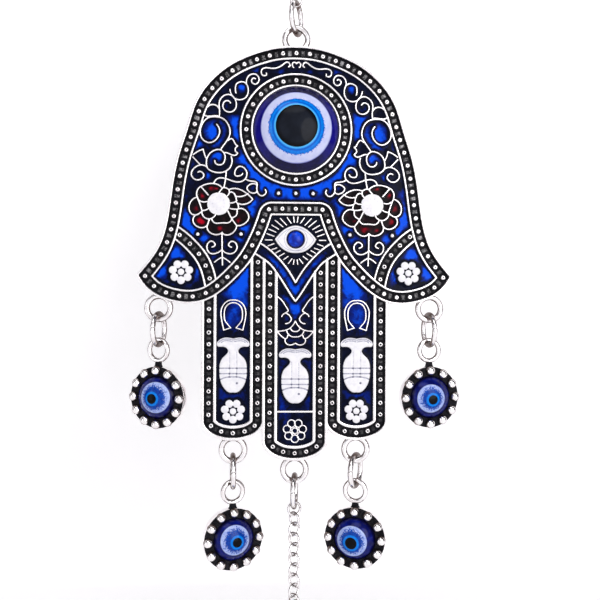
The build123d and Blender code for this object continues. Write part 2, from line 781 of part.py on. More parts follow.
fill("palm_enamel", ground_areas[-1], [
    eye_disc, scrolls, flowers.sketch, petal_lines, discs(dots, dot_diameter),
])
fill("corner_enamels", ground_areas[:-1], [daisy_area(centre) for centre in corner_daisy_centres])
fill("eye_panel_enamel", eye_panel, [chevrons, lashes, almond.sketch])
fill("chevron_enamel", palm_foot_panel, [chevrons, eye_panel])
for name, x in finger_places.items():
    with BuildSketch() as field:
        with Locations((x, 0)):
            add(inset(finger_areas[name], finger_border))
    cuts = [palm_and_panel.sketch, chevrons, finger_lines.sketch, fish_area(fish_tops[name])]
    if name != "middle":
        cuts.append(horseshoe_area((x, height(horseshoe_share))))
        cuts.append(daisy_area((x, height(outer_daisy_share))))
    fill(f"finger_enamel_{name}", field.sketch, cuts)
fill("petal_enamels", petals.sketch, [])


# Domed pieces, each made standing at z = 0 and facing +Z

def dome(diameter, edge, rise):
    """A round dome on a straight edge."""
    top = (0, edge + rise)
    rim = (diameter / 2, edge)
    with BuildPart() as domed:
        with BuildSketch(Plane.XZ):
            with BuildLine():
                Polyline(top, (0, 0), (diameter / 2, 0), rim)
                TangentArc(top, rim, tangent=(1, 0))
            make_face()
        revolve(axis=Axis.Z)
    return domed.part


def above(body, level, outer, inner=0):
    """What a domed body holds above a level, between two diameters."""
    with BuildPart() as core:
        add(body)
        with BuildSketch(Plane.XY.offset(level)):
            Circle(outer / 2)
            if inner:
                Circle(inner / 2, mode=Mode.SUBTRACT)
        extrude(amount=body.bounding_box().max.Z, mode=Mode.INTERSECT)
    return core.part


def without(body, level, diameter):
    """A domed body with a round well in it, down to a level."""
    with BuildPart() as holed:
        add(body)
        with BuildSketch(Plane.XY.offset(level)):
            Circle(diameter / 2)
        extrude(amount=body.bounding_box().max.Z, mode=Mode.SUBTRACT)
    return holed.part


def seat(name, body, centres):
    """Domed bodies standing on the hand's floor."""
    with BuildPart(Plane.XZ.offset(floor)) as seated:
        with Locations(*centres):
            add(body)
    keep(seated, name)


with BuildPart() as daisy:
    with Locations(*daisy_centres((0, 0), daisy_circle_diameter)):
        add(dome(daisy_petal_diameter, daisy_edge, daisy_rise))
    add(dome(daisy_heart_diameter, daisy_edge, daisy_rise))

flower_dome = dome(flower_centre_diameter, flower_centre_edge, flower_centre_rise)
seat("flower_centres", flower_dome, flower_centres)
seat("daisies", daisy.part, corner_daisy_centres + finger_daisy_centres)
seat("eye_stone", dome(stone_diameter, stone_edge, stone_rise), [stone])

palm_glass = dome(palm_eye_diameter, palm_eye_edge, palm_eye_rise)
seat("palm_eye_glass", without(palm_glass, palm_eye_inlay_level, palm_eye_white_diameter), [palm_eye])
palm_inlays = {
    "palm_eye_white": (palm_eye_white_diameter, palm_eye_iris_diameter),
    "palm_eye_iris": (palm_eye_iris_diameter, palm_eye_pupil_diameter),
    "palm_eye_pupil": (palm_eye_pupil_diameter, 0),
}
for name, (outer, inner) in palm_inlays.items():
    seat(name, above(palm_glass, palm_eye_inlay_level, outer, inner), [palm_eye])


# White pieces with flat tops

with BuildPart() as eye_white:
    with BuildSketch(Plane.XZ.offset(floor)):
        add(almond.sketch)
        add(discs([stone], stone_diameter + 2 * glass_clearance), mode=Mode.SUBTRACT)
    extrude(amount=almond_height)
keep(eye_white, "eye_white")

for name, top in fish_tops.items():
    with BuildPart() as fish:
        with BuildSketch(Plane.XZ.offset(floor)):
            add(fish_area(top))
        extrude(amount=fish_height)
        with BuildSketch(Plane.XZ.offset(floor + fish_height)):
            add(fish_lines(top))
        extrude(amount=-fish_groove_depth, mode=Mode.SUBTRACT)
    keep(fish, f"fish_{name}")


# Rings and links, each hanging in the one above it

def hanging_plane(x, z, turn):
    """The plane of a ring or charm with its centre at (x, z), turned from facing the front."""
    ahead = (sin(radians(turn)), -cos(radians(turn)), 0)
    return Plane(origin=(x, 0, z), x_dir=(cos(radians(turn)), sin(radians(turn)), 0), z_dir=ahead)


def hang(name, size, x, z, turn):
    diameter, wire = size
    with BuildPart(hanging_plane(x, z, turn)) as hanging:
        Torus((diameter - wire) / 2, wire / 2)
    keep(hanging, name)


hang("hanging_ring", ring, 0, 0, 0)
for number, turn in enumerate(top_link_turns):
    hang(f"top_link_{number + 1}", link, 0, top_link_heights[number], turn)
hang("top_jump_ring", ring, 0, top_ring_height, top_ring_turn)
charm_places = {}
for name, (x, z) in lugs.items():
    hang(f"jump_ring_{name}", ring, x, z - drop(lug, ring), ring_turns[name])
    charm_places[name] = (x, z - drop(lug, ring) - drop(ring, charm_ring))

end_link_height = lugs["bottom"][1] - drop(lug, ring) - drop(ring, link)
for number, turn in enumerate(end_link_turns):
    hang(f"end_link_{number + 1}", link, 0, end_link_height - number * drop(link, link), turn)
end_ring_height = end_link_height - (len(end_link_turns) - 1) * drop(link, link) - drop(link, ring)
hang("jump_ring_end", ring, 0, end_ring_height, end_ring_turn)
del charm_places["bottom"]
charm_places["end"] = (0, end_ring_height - drop(ring, charm_ring))


# An eye charm, made flat about its ring's centre: y is up and its front faces +Z

charm_ring_radius = charm_ring_diameter / 2
bezel_radius = bezel_diameter / 2
bezel_drop = charm_ring_radius + neck_length + bezel_radius
bezel_front = bezel_thickness - bezel_behind_ring
seat_level = bezel_front - seat_depth

with BuildPart() as charm_bezel:
    with BuildSketch(Plane.XY.offset(-bezel_behind_ring)):
        with Locations((0, -bezel_drop)):
            Circle(bezel_radius)
    extrude(amount=bezel_thickness)
    with BuildSketch(Plane.XY.offset(seat_level)):
        with Locations((0, -bezel_drop)):
            Circle(charm_eye_diameter / 2 + glass_clearance)
    extrude(amount=seat_depth, mode=Mode.SUBTRACT)
    with Locations(Plane(origin=(0, -bezel_drop, bezel_front))):
        with PolarLocations(ball_circle_diameter / 2, charm_balls):
            Sphere(ball_diameter / 2)
    with BuildSketch(Plane.XY.offset(-charm_ring_wire / 2)):
        with Locations((0, -charm_ring_radius - neck_length / 2)):
            Rectangle(neck_width, neck_length + 2 * neck_sink)
    extrude(amount=charm_ring_wire)
    Torus((charm_ring_diameter - charm_ring_wire) / 2, charm_ring_wire / 2)

charm_dome = dome(charm_eye_diameter, charm_eye_edge, charm_eye_rise)
charm_inlays = [
    (charm_eye_white_diameter, charm_eye_iris_diameter),
    (charm_eye_iris_diameter, charm_eye_pupil_diameter),
    (charm_eye_pupil_diameter, 0),
]
for name, (x, z) in charm_places.items():
    plane = hanging_plane(x, z, charm_turns[name])
    with BuildPart(plane) as bezel:
        add(charm_bezel.part)
    keep(bezel, f"charm_{name}_bezel")
    with BuildPart(plane) as glass:
        with Locations((0, -bezel_drop, seat_level)):
            add(without(charm_dome, charm_eye_inlay_level, charm_eye_white_diameter))
    keep(glass, f"charm_{name}_glass")
    with BuildPart(plane) as eye:
        with Locations((0, -bezel_drop, seat_level)):
            for outer, inner in charm_inlays:
                add(above(charm_dome, charm_eye_inlay_level, outer, inner), clean=False)
    keep(eye, f"charm_{name}_eye")
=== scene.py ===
import math

import bmesh
import bpy
import numpy as np
from mathutils import Matrix, Vector
from mathutils.geometry import delaunay_2d_cdt
from mathutils.kdtree import KDTree


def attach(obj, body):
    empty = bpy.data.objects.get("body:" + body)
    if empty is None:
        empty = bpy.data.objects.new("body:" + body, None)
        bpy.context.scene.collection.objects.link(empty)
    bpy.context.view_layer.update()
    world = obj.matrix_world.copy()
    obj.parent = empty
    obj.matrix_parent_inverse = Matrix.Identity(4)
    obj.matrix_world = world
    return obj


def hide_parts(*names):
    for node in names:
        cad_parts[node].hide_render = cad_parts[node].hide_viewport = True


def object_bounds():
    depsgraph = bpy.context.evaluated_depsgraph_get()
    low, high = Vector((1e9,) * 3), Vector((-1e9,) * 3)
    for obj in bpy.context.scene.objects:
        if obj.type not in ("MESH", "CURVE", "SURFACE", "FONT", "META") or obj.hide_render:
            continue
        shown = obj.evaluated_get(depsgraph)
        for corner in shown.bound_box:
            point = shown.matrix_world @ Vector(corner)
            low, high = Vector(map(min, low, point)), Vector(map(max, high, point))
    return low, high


# The looks of a hamsa hand ornament. Lengths in this script are millimetres until a mesh is made,
# and a place on the hand is (x, z), seen from the front. The front faces -Y.

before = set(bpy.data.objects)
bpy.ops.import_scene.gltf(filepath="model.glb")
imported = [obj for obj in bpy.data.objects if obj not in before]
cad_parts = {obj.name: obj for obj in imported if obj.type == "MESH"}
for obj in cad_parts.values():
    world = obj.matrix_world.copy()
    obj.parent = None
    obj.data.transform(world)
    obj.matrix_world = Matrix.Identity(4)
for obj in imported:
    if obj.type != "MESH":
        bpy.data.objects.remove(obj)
cad_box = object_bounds()
MM = 0.001

# Sizes, as in the part's source
RING, LINK, LUG, CHARM_RING = (8.7, 1.25), (3.6, 0.55), (6.9, 1.4), (6.1, 1.15)
WIRE_CLEARANCE = 0.05
HAND_WIDTH, HAND_HEIGHT = 75.0, 98.8
BACK, FLOOR = 1.25, 0.75
WALL_HEIGHT = 0.9
PALM_RIM, PALM_CHANNEL, PALM_WALL = 0.5, 2.3, 0.5
FINGER_RIM, FINGER_CHANNEL, FINGER_WALL = 0.75, 2.15, 0.75
OUTER_FINGER, MIDDLE_FINGER, TIP_ROUND = 15.2, 15.7, 4.8
TOP_LUG_SINK, SIDE_LUG_SINK, FINGER_LUG_SINK = 1.45, 0.65, 1.1
PALM_PITCH, FINGER_PITCH = 3.2, 2.82
EYE_FENCE, FENCE_WALL, EYE_BEADS = 26.9, 0.5, 24
ENAMEL = 0.65
FLOWER_CENTRE = 5.7
DAISY_CIRCLE, DAISY_PETAL, DAISY_HEART = 3.9, 2.3, 1.9
OPEN_CIRCLE, OPEN_PETAL, OPEN_HEART, OPEN_LINE = 3.8, 2.1, 1.7, 0.3
FISH_LENGTH, FISH_HEIGHT = 13.05, 0.95
HORSESHOE, HORSESHOE_FLOOR = 6.0, 0.6
STONE, STONE_EDGE, STONE_RISE = 4.3, 0.7, 0.9
ALMOND_HEIGHT = 0.95
PALM_EYE, PALM_EYE_EDGE, PALM_EYE_RISE = 20.4, 0.8, 4.7
EYE_WHITE, EYE_IRIS, EYE_PUPIL = 16.8, 13.0, 9.8
BEZEL, BEZEL_THICK, BEZEL_BEHIND, SEAT_DEPTH = 14.7, 2.2, 1.3, 0.5
NECK_LENGTH = 0.8
BALLS, BALL, BALL_CIRCLE = 12, 2.3, 12.7
CHARM_EYE, CHARM_EDGE, CHARM_RISE, CHARM_WHITE = 10.0, 0.5, 2.6, 6.6

TOP_LINK_TURNS = [62, -28]
TOP_RING_TURN = 70
RING_TURNS = {"left": 77, "right": 98.5, "finger_left": 95, "finger_right": 64, "bottom": 83}
CHARM_TURNS = {"left": -25, "right": 12, "finger_left": 22, "finger_right": -17, "end": 5}
END_LINK_TURNS = [20, -50, 40, -45, 45, -45, 45, -45, 45, -45]
END_RING_TURN = 68


def pairs(*thousandths):
    """Shares as pairs, from numbers in thousandths."""
    return [(a / 1000, b / 1000) for a, b in zip(thousandths[::2], thousandths[1::2])]


# Outlines and places on the right half, as shares of the hand's width from the middle and of its
# height down from the top
palm_top_shares = pairs(0, 0, 67, 4, 133, 18, 200, 41, 267, 81, 320, 139, 347, 202, 369, 253, 396, 354,
    416, 445, 436, 486, 467, 522, 501, 553)
palm_foot_shares = pairs(501, 553, 481, 577, 453, 597, 400, 615, 344, 622, 285, 615, 227, 588, 180, 554,
    144, 522, 115, 484, 91, 443, 76, 409)
upper_chevron_shares = pairs(120, 473, 97, 483, 67, 502, 40, 524, 0, 570)
lower_chevron_shares = pairs(137, 496, 113, 508, 84, 524, 61, 545, 40, 569, 0, 615)
corner_band_shares = pairs(384, 449, 355, 464, 328, 483, 304, 504, 285, 529, 272, 559, 267, 577)
scroll_shares = [pairs(*row) for row in (
    (9, 52, 13, 47, 11, 41, 6, 40, 0, 43),
    (25, 51, 21, 48, 23, 42, 31, 40, 40, 44, 53, 51, 67, 55, 83, 55, 101, 55, 110, 59, 111, 67, 105,
     73, 96, 72, 95, 67),
    (158, 92, 157, 82, 149, 73, 139, 70, 127, 71, 119, 79, 120, 88, 129, 94, 139, 91, 142, 85, 137, 80,
     130, 81),
    (191, 116, 193, 104, 189, 94, 180, 90, 169, 89, 159, 93, 153, 103, 153, 115, 160, 126, 176, 132,
     192, 130, 204, 121, 210, 108),
    (244, 173, 243, 154, 243, 137, 229, 123, 213, 120, 197, 127, 190, 140, 193, 154, 208, 162, 224,
     159, 232, 149, 228, 138, 217, 135, 208, 140), (281, 151, 272, 146, 259, 145, 244, 154),
    (292, 162, 288, 171, 277, 173, 244, 173),
    (251, 192, 253, 228, 273, 236, 296, 227, 303, 212, 297, 192, 279, 177, 253, 174, 229, 179, 213,
     195, 210, 216, 223, 235, 239, 253), (215, 230, 201, 227, 195, 234, 185, 243),
    (185, 243, 193, 252, 185, 260), (185, 260, 196, 266, 211, 262, 227, 260),
    (205, 269, 203, 283, 212, 298, 233, 307, 259, 306, 279, 297, 283, 280, 275, 264, 257, 254, 239,
     253, 227, 262, 225, 275, 235, 288, 249, 288, 257, 279), (324, 265, 309, 257, 293, 252),
    (293, 252, 289, 264, 284, 273), (325, 271, 301, 290),
    (280, 295, 301, 290, 321, 297, 330, 313, 316, 325, 297, 322, 291, 314, 299, 306, 309, 307),
    (221, 304, 223, 324, 228, 343),
    (259, 332, 248, 322, 221, 322, 192, 329, 169, 327, 156, 314, 161, 298, 177, 292, 192, 301, 191,
     314, 179, 315, 169, 309),
    (159, 321, 141, 327, 125, 330, 124, 344, 120, 356, 108, 362, 96, 356, 97, 347),
    (125, 336, 145, 335, 155, 343, 148, 352, 124, 352),
    (233, 491, 248, 500, 269, 501, 280, 489, 277, 477, 265, 472, 255, 479, 264, 486),
    (233, 491, 219, 500, 200, 501, 186, 489, 189, 477, 201, 472, 212, 479, 203, 486),
    (256, 522, 244, 515, 232, 510), (208, 522, 220, 515, 232, 510), (233, 405, 233, 466, 231, 529),
)]
petal_edge_shares = [pairs(*row) for row in (
    (299, 341, 309, 347, 313, 356, 311, 367), (311, 367, 328, 374, 337, 392, 332, 404, 317, 410),
    (317, 410, 323, 427, 305, 439, 279, 433), (279, 433, 276, 447, 256, 456, 233, 451),
    (233, 451, 216, 457, 196, 449, 187, 434), (187, 434, 164, 430, 149, 415, 160, 397, 181, 394),
    (181, 394, 182, 387, 185, 380), (185, 380, 164, 383, 147, 378, 137, 370),
    (137, 370, 155, 357, 179, 347, 212, 348), (212, 348, 221, 344, 233, 344),
    (233, 344, 248, 336, 271, 334, 299, 341),
)]
petal_line_shares = [pairs(*row) for row in (
    (299, 342, 277, 361), (233, 345, 244, 356), (212, 348, 211, 356, 219, 364),
    (211, 355, 197, 356, 190, 366, 188, 378), (208, 380, 197, 379, 187, 374),
    (208, 393, 195, 395, 181, 394), (187, 395, 187, 407, 203, 416), (215, 399, 203, 417, 187, 434),
    (266, 418, 251, 429, 233, 428, 216, 428, 202, 418),
    (296, 399, 291, 413, 275, 419, 261, 415, 253, 407), (311, 367, 303, 383, 296, 399),
    (296, 399, 283, 397, 275, 393), (305, 374, 295, 378, 281, 377), (296, 399, 305, 406, 317, 410),
    (273, 420, 279, 433), (189, 364, 171, 364, 152, 357),
)]
palmette_shares = [pairs(*row) for row in (
    (57, 604, 40, 616, 28, 630, 23, 638, 31, 643, 43, 652),
    (30, 644, 17, 651, 13, 659, 19, 666, 31, 669), (0, 663, 7, 672, 17, 680, 31, 685, 56, 687),
    (15, 680, 8, 687, 0, 688), (28, 685, 17, 698, 0, 701), (55, 690, 43, 700, 31, 705, 24, 697),
    (31, 705, 31, 714, 21, 720, 11, 720, 0, 716),
)]
lash_shares = [pairs(*row) for row in (
    (96, 468, 75, 468), (91, 453, 69, 459), (85, 442, 63, 449), (76, 432, 54, 442), (65, 421, 41, 436),
    (49, 416, 29, 432), (27, 414, 15, 427), (7, 412, 5, 425), (87, 482, 69, 477), (75, 491, 60, 487),
    (63, 499, 49, 493), (52, 507, 36, 500), (38, 515, 24, 507), (23, 524, 12, 513), (7, 526, 5, 515),
)]
almond_shares = pairs(66, 466, 53, 454, 35, 442, 16, 435, 0, 433)
almond_low_shares = pairs(66, 466, 55, 479, 36, 492, 17, 498, 0, 499)

palm_eye_share = (0.0, 0.202)
flower_share = (0.244, 0.382)
corner_daisy_share = (0.361, 0.546)
middle_dot_share = (0.0, 0.355)
dot_shares = pairs(55, 355, 309, 455, 173, 454)
stone_share = (0.0, 0.466)
side_lug_share = (0.433, 0.604)

# The same for places in the fingers, by their share of the hand's height down from the top
finger_root_share = 0.420
outer_tip_share = 0.951
horseshoe_share = 0.642
outer_fish_share = 0.703
middle_fish_share = 0.729
outer_daisy_share = 0.880
divider_share = 0.881
open_daisy_share = 0.927

# The right half of a fish, nose down, as shares of its length from its middle and down from its tail
fish_tail_shares = pairs(0, 15, 77, 0, 161, 0, 238, 31, 287, 77, 299, 130)
fish_body_shares = pairs(299, 130, 276, 165, 207, 169, 126, 192, 96, 245, 123, 299, 199, 375, 241, 467,
    253, 590, 238, 759, 161, 927, 84, 992, 0, 1000)
fish_gill_shares = pairs(0, 713, 130, 724, 226, 759)
fish_line_shares = [pairs(*row) for row in (
    (-240, 556, 240, 556), (-245, 655, 245, 655), (-65, 250, -65, 715), (65, 250, 65, 715),
)]
fish_eye_share = (0.069, 0.828)

# The right half of a horseshoe, as shares of its size from its middle and down from its centre
horseshoe_outer_shares = pairs(0, -483, 183, -458, 367, -325, 483, -67, 483, 167, 433, 450, 375, 708)
horseshoe_inner_shares = pairs(0, -375, 183, -325, 325, -150, 358, 100, 325, 333, 225, 475, 108, 617)


# Heights and places that follow from the sizes

def drop(upper, lower):
    """How far a ring's centre hangs below that of the ring that it hangs in."""
    return (upper[0] + lower[0]) / 2 - upper[1] - lower[1] - WIRE_CLEARANCE


top_link_heights = [-drop(RING, LINK) - number * drop(LINK, LINK) for number in range(len(TOP_LINK_TURNS))]
top_ring_height = top_link_heights[-1] - drop(LINK, RING)
top_lug = (0.0, top_ring_height - drop(RING, LUG))
hand_top = top_lug[1] - LUG[0] / 2 + TOP_LUG_SINK
finger_x = (MIDDLE_FINGER + OUTER_FINGER) / 2 - FINGER_RIM
palm_border = PALM_RIM + PALM_CHANNEL + PALM_WALL
finger_border = FINGER_RIM + FINGER_CHANNEL + FINGER_WALL


def place(share, side=1):
    """A place on the right or left half, from its shares of the hand's width and height."""
    return (side * share[0] * HAND_WIDTH, hand_top - share[1] * HAND_HEIGHT)


def places(shares, side=1):
    return [place(share, side) for share in shares]


def height(share):
    """The height at a share of the hand's height down from its top."""
    return hand_top - share * HAND_HEIGHT


outer_tip, middle_tip = height(outer_tip_share), height(1)
lug_drop = LUG[0] / 2 - FINGER_LUG_SINK
side_lug = place(side_lug_share)
side_lug_z = side_lug[1] - LUG[0] / 2 + SIDE_LUG_SINK
lugs = {
    "left": (-side_lug[0], side_lug_z),
    "right": (side_lug[0], side_lug_z),
    "finger_left": (-finger_x, outer_tip - lug_drop),
    "finger_right": (finger_x, outer_tip - lug_drop),
    "bottom": (0.0, middle_tip - lug_drop),
}
fingers = {
    "left": (-finger_x, OUTER_FINGER, outer_tip),
    "middle": (0.0, MIDDLE_FINGER, middle_tip),
    "right": (finger_x, OUTER_FINGER, outer_tip),
}


# Flat lines

def resample(line, count):
    """A line as an even number of steps."""
    steps = np.linalg.norm(np.diff(line, axis=0), axis=1)
    along = np.concatenate([[0.0], np.cumsum(steps)])
    wanted = np.linspace(0, along[-1], count)
    return np.stack([np.interp(wanted, along, line[:, 0]), np.interp(wanted, along, line[:, 1])], 1)


def length(line):
    """The length of a line."""
    return float(np.linalg.norm(np.diff(line, axis=0), axis=1).sum())


def spline(points, pitch=0.15):
    """A smooth line through places: a cubic by chord length, its end slopes from its end points."""
    p = np.asarray(points, float)
    count = len(p)
    if count == 2:
        return resample(p, max(3, math.ceil(length(p) / pitch) + 1))
    chords = np.linalg.norm(np.diff(p, axis=0), axis=1)
    t = np.concatenate([[0.0], np.cumsum(chords)])

    def end_slope(ts, ps):
        return np.linalg.solve(np.vander(ts - ts[0], len(ts), increasing=True), ps)[1]

    ends = min(4, count)
    matrix, known = np.zeros((count, count)), np.zeros((count, 2))
    matrix[0, 0] = matrix[-1, -1] = 1
    known[0] = end_slope(t[:ends], p[:ends])
    known[-1] = end_slope(t[::-1][:ends], p[::-1][:ends])
    for i in range(1, count - 1):
        before, after = chords[i - 1], chords[i]
        matrix[i, i - 1 : i + 2] = 1 / before, 2 / before + 2 / after, 1 / after
        known[i] = 3 * ((p[i] - p[i - 1]) / before**2 + (p[i + 1] - p[i]) / after**2)
    slopes = np.linalg.solve(matrix, known)
    u = np.linspace(0, 1, 24, endpoint=False)[:, None]
    spans = []
    for i, chord in enumerate(chords):
        spans.append(
            (2 * u**3 - 3 * u**2 + 1) * p[i]
            + (u**3 - 2 * u**2 + u) * chord * slopes[i]
            + (3 * u**2 - 2 * u**3) * p[i + 1]
            + (u**3 - u**2) * chord * slopes[i + 1]
        )
    line = np.vstack(spans + [p[-1:]])
    return resample(line, max(3, math.ceil(length(line) / pitch) + 1))


def headings(line):
    """The unit headings along an open line."""
    slope = np.gradient(line, axis=0)
    return slope / np.maximum(np.linalg.norm(slope, axis=1)[:, None], 1e-9)


def normals(line):
    """The unit normals on an open line's left."""
    ahead = headings(line)
    return np.stack([-ahead[:, 1], ahead[:, 0]], 1)


def crossing(first, second):
    """Where the end of one line crosses the start of another: the spans, how far along, the place."""
    a0, a1 = first[:-1], first[1:]
    b0, b1 = second[:-1], second[1:]
    da, db = a1 - a0, b1 - b0
    cross = da[:, None, 0] * db[None, :, 1] - da[:, None, 1] * db[None, :, 0]
    cross = np.where(abs(cross) < 1e-12, 1e-12, cross)
    gap = b0[None] - a0[:, None]
    s = (gap[..., 0] * db[None, :, 1] - gap[..., 1] * db[None, :, 0]) / cross
    u = (gap[..., 0] * da[:, None, 1] - gap[..., 1] * da[:, None, 0]) / cross
    hits = np.argwhere((s >= 0) & (s <= 1) & (u >= 0) & (u <= 1))
    if len(hits) == 0:
        return None
    i, j = min(hits, key=lambda hit: (len(a0) - hit[0]) + hit[1])
    return i, j, a0[i] + s[i, j] * da[i]


def lengthened(line, reach):
    """A line carried straight on past both ends."""
    start = line[0] + (line[0] - line[1]) / np.linalg.norm(line[0] - line[1]) * reach
    end = line[-1] + (line[-1] - line[-2]) / np.linalg.norm(line[-1] - line[-2]) * reach
    return np.vstack([start, line, end])


def looped(line):
    """A line carried back to its first point."""
    return np.vstack([line, line[:1]])


def trimmed(line, kept, more=0):
    """A line from its first kept point to its last, and some more points at both ends."""
    first, last = np.argmax(kept), len(kept) - np.argmax(kept[::-1])
    return line[max(first - more, 0) : last + more]


ARC_STEPS, CORNER_REACH = 10, 6.0


def inset_row(pieces, depth):
    """The loop at a depth inside an outline of smooth pieces, with as many points at any depth."""
    whole = np.vstack(pieces)
    area = np.sum(whole[:, 0] * np.roll(whole[:, 1], -1) - whole[:, 1] * np.roll(whole[:, 0], -1))
    if area < 0:
        pieces = [piece[::-1] for piece in pieces[::-1]]
    inward = [normals(piece) for piece in pieces]
    longer = [lengthened(piece + inner * depth, CORNER_REACH) for piece, inner in zip(pieces, inward)]
    none = np.empty((0, 2))
    starts, ends = [(1, none)] * len(pieces), [(len(line) - 1, none) for line in longer]
    arcs = [none] * len(pieces)
    for i in range(len(pieces)):
        j = (i + 1) % len(pieces)
        before, after = inward[i][-1], inward[j][0]
        bend = before[0] * after[1] - before[1] * after[0]
        if bend <= 0:
            turns = np.linspace(0, math.atan2(bend, before @ after), ARC_STEPS + 2)[1:-1]
            turns += math.atan2(before[1], before[0])
            arcs[i] = pieces[i][-1] + depth * np.stack([np.cos(turns), np.sin(turns)], 1)
        elif depth > 1e-6 and (hit := crossing(longer[i], longer[j])):
            ends[i], starts[j] = (hit[0] + 1, hit[2][None]), (hit[1] + 1, hit[2][None])
    row = []
    for line, (low, start), (high, end), arc in zip(longer, starts, ends, arcs):
        row += [resample(np.vstack([start, line[low:high], end]), len(line) - 2), arc]
    return np.vstack(row)


def inside(points, loops):
    """Which points lie inside closed loops, by the even-odd rule."""
    x, z = points[:, 0], points[:, 1]
    odd = np.zeros(len(points), bool)
    for loop in loops:
        near = (z >= loop[:, 1].min()) & (z <= loop[:, 1].max()) & (x <= loop[:, 0].max())
        if not near.any():
            continue
        px, pz = x[near], z[near]
        flips = np.zeros(near.sum(), bool)
        for (x0, z0), (x1, z1) in zip(loop, np.roll(loop, -1, axis=0)):
            if z0 == z1:
                continue
            spans = (z0 > pz) != (z1 > pz)
            flips ^= spans & (px < x0 + (pz - z0) * (x1 - x0) / (z1 - z0))
        odd[near] ^= flips
    return odd


def round_turns(count):
    """Even turns round a circle, from 0."""
    return np.linspace(0, 2 * math.pi, count, endpoint=False)


def circle(centre, diameter, count=96):
    turns = round_turns(count)
    return np.asarray(centre) + diameter / 2 * np.stack([np.cos(turns), np.sin(turns)], 1)


def tree_of(samples):
    """A tree that finds the nearest of flat places."""
    tree = KDTree(len(samples))
    for i, (x, z) in enumerate(samples):
        tree.insert((x, z, 0.0), i)
    tree.balance()
    return tree


FAR = 9.0


class Nearest:
    """Distances to the edges of lines that each have a half width."""

    def __init__(self):
        self.groups = {}

    def add(self, line, half_width, pitch=0.06):
        fine = resample(np.asarray(line), max(2, math.ceil(length(line) / pitch) + 1))
        self.groups.setdefault(half_width, []).append(fine)

    def distances(self, points):
        """The distance of each point, from 0 on a line to FAR."""
        best = np.full(len(points), FAR)
        for half_width, lines in self.groups.items():
            tree = tree_of(np.vstack(lines))
            found = np.array([tree.find((x, z, 0.0))[2] for x, z in points])
            best = np.minimum(best, found - half_width)
        return np.maximum(best, 0)

    def share(self, points, width):
        """How close each point is: 1 on a line, and falling to nothing over a width beside it."""
        return np.exp(-((self.distances(points) / width) ** 2))


# Meshes

def on_hand(flat, rise):
    """Flat places and their heights over the hand's floor, as points in the row frame."""
    flat = np.asarray(flat, float)
    rise = np.broadcast_to(np.asarray(rise, float), (len(flat),))
    return np.stack([flat[:, 0], -(FLOOR + rise), flat[:, 1]], 1)


def strip_faces(rows, count, closed=True, joined=False):
    """Quads between rows of points with the same count. Joined rows go on from the last to the first."""
    columns = np.arange(count if closed else count - 1)
    following = (columns + 1) % count
    faces = []
    for row in range(rows if joined else rows - 1):
        a, b = row * count, (row + 1) % rows * count
        faces.append(np.stack([a + columns, a + following, b + following, b + columns], 1))
    return np.vstack(faces).tolist()


class Shape:
    """A mesh gathered from chunks, with a shading value at each vertex and a material at each face."""

    def __init__(self):
        self.points, self.faces, self.slots, self.values = [], [], [], []
        self.count = 0

    def add(self, points, faces, value=1.0, slot=0, toward=None):
        """A chunk, its faces turned outwards, or towards a direction."""
        points = np.asarray(points, float)
        corners = np.array([[*f[:3], f[3] if len(f) > 3 else f[2]] for f in faces])
        a, b, c, d = (points[corners[:, k]] for k in range(4))
        facing = np.cross(c - a, d - b)
        outward = (a + c) / 2 - points.mean(0) if toward is None else np.asarray(toward, float)
        if np.sum(facing * outward) < 0:
            faces = [f[::-1] for f in faces]
        self.points.append(points)
        self.faces += [[self.count + i for i in f] for f in faces]
        self.slots += [slot] * len(faces) if np.isscalar(slot) else list(slot)
        self.values.append(np.broadcast_to(np.asarray(value, float), (len(points),)))
        self.count += len(points)

    def make(self, name, materials, body, node, slot_name, sharp, origin=(0, 0, 0), value_name="rise",
             glow=None):
        """The shape as an object that rides on a body and replaces a node."""
        points = (np.vstack(self.points) - np.asarray(origin)) * MM
        mesh = bpy.data.meshes.new(name)
        mesh.from_pydata(points.tolist(), [], self.faces)
        value = mesh.attributes.new(value_name, "FLOAT", "POINT")
        value.data.foreach_set("value", np.concatenate(self.values).astype(np.float32))
        # Painted light on the enamel, as a value at each vertex
        if glow is not None:
            lit = mesh.attributes.new("glow", "FLOAT", "POINT")
            lit.data.foreach_set("value", glow.astype(np.float32))
        for material in materials:
            mesh.materials.append(material)
        mesh.polygons.foreach_set("material_index", self.slots)
        work = bmesh.new()
        work.from_mesh(mesh)
        bmesh.ops.dissolve_degenerate(work, dist=2e-7, edges=work.edges)
        work.to_mesh(mesh)
        work.free()
        mesh.shade_smooth()
        mesh.set_sharp_from_angle(angle=math.radians(sharp))
        piece = bpy.data.objects.new(name, mesh)
        bpy.context.scene.collection.objects.link(piece)
        piece.location = np.asarray(origin) * MM
        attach(piece, body)
        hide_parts(node)
        return piece


FRONT = (0, -1, 0)

# Across a crowned wall, as shares of its width and height, and how bright it is rubbed
WALL_FLANK = [(0.0, 0.0, 0.0), (0.0, 0.55, 0.15), (0.02, 0.80, 0.75), (0.10, 0.93, 1.0), (0.25, 0.99, 1.0)]
WALL_STEPS = [*WALL_FLANK, (0.5, 1.0, 1.0)] + [(1 - s, high, value) for s, high, value in WALL_FLANK[::-1]]
# Up a fine line, as shares of its half width and how far under its top, and how bright it is rubbed
RIDGE_STEPS = [(1, 0.26, 0.1), (0.94, 0.12, 0.8), (0.72, 0.04, 1.0), (0.4, 0.008, 1.0), (0.08, 0.0, 1.0)]
CAP_STEPS = 6


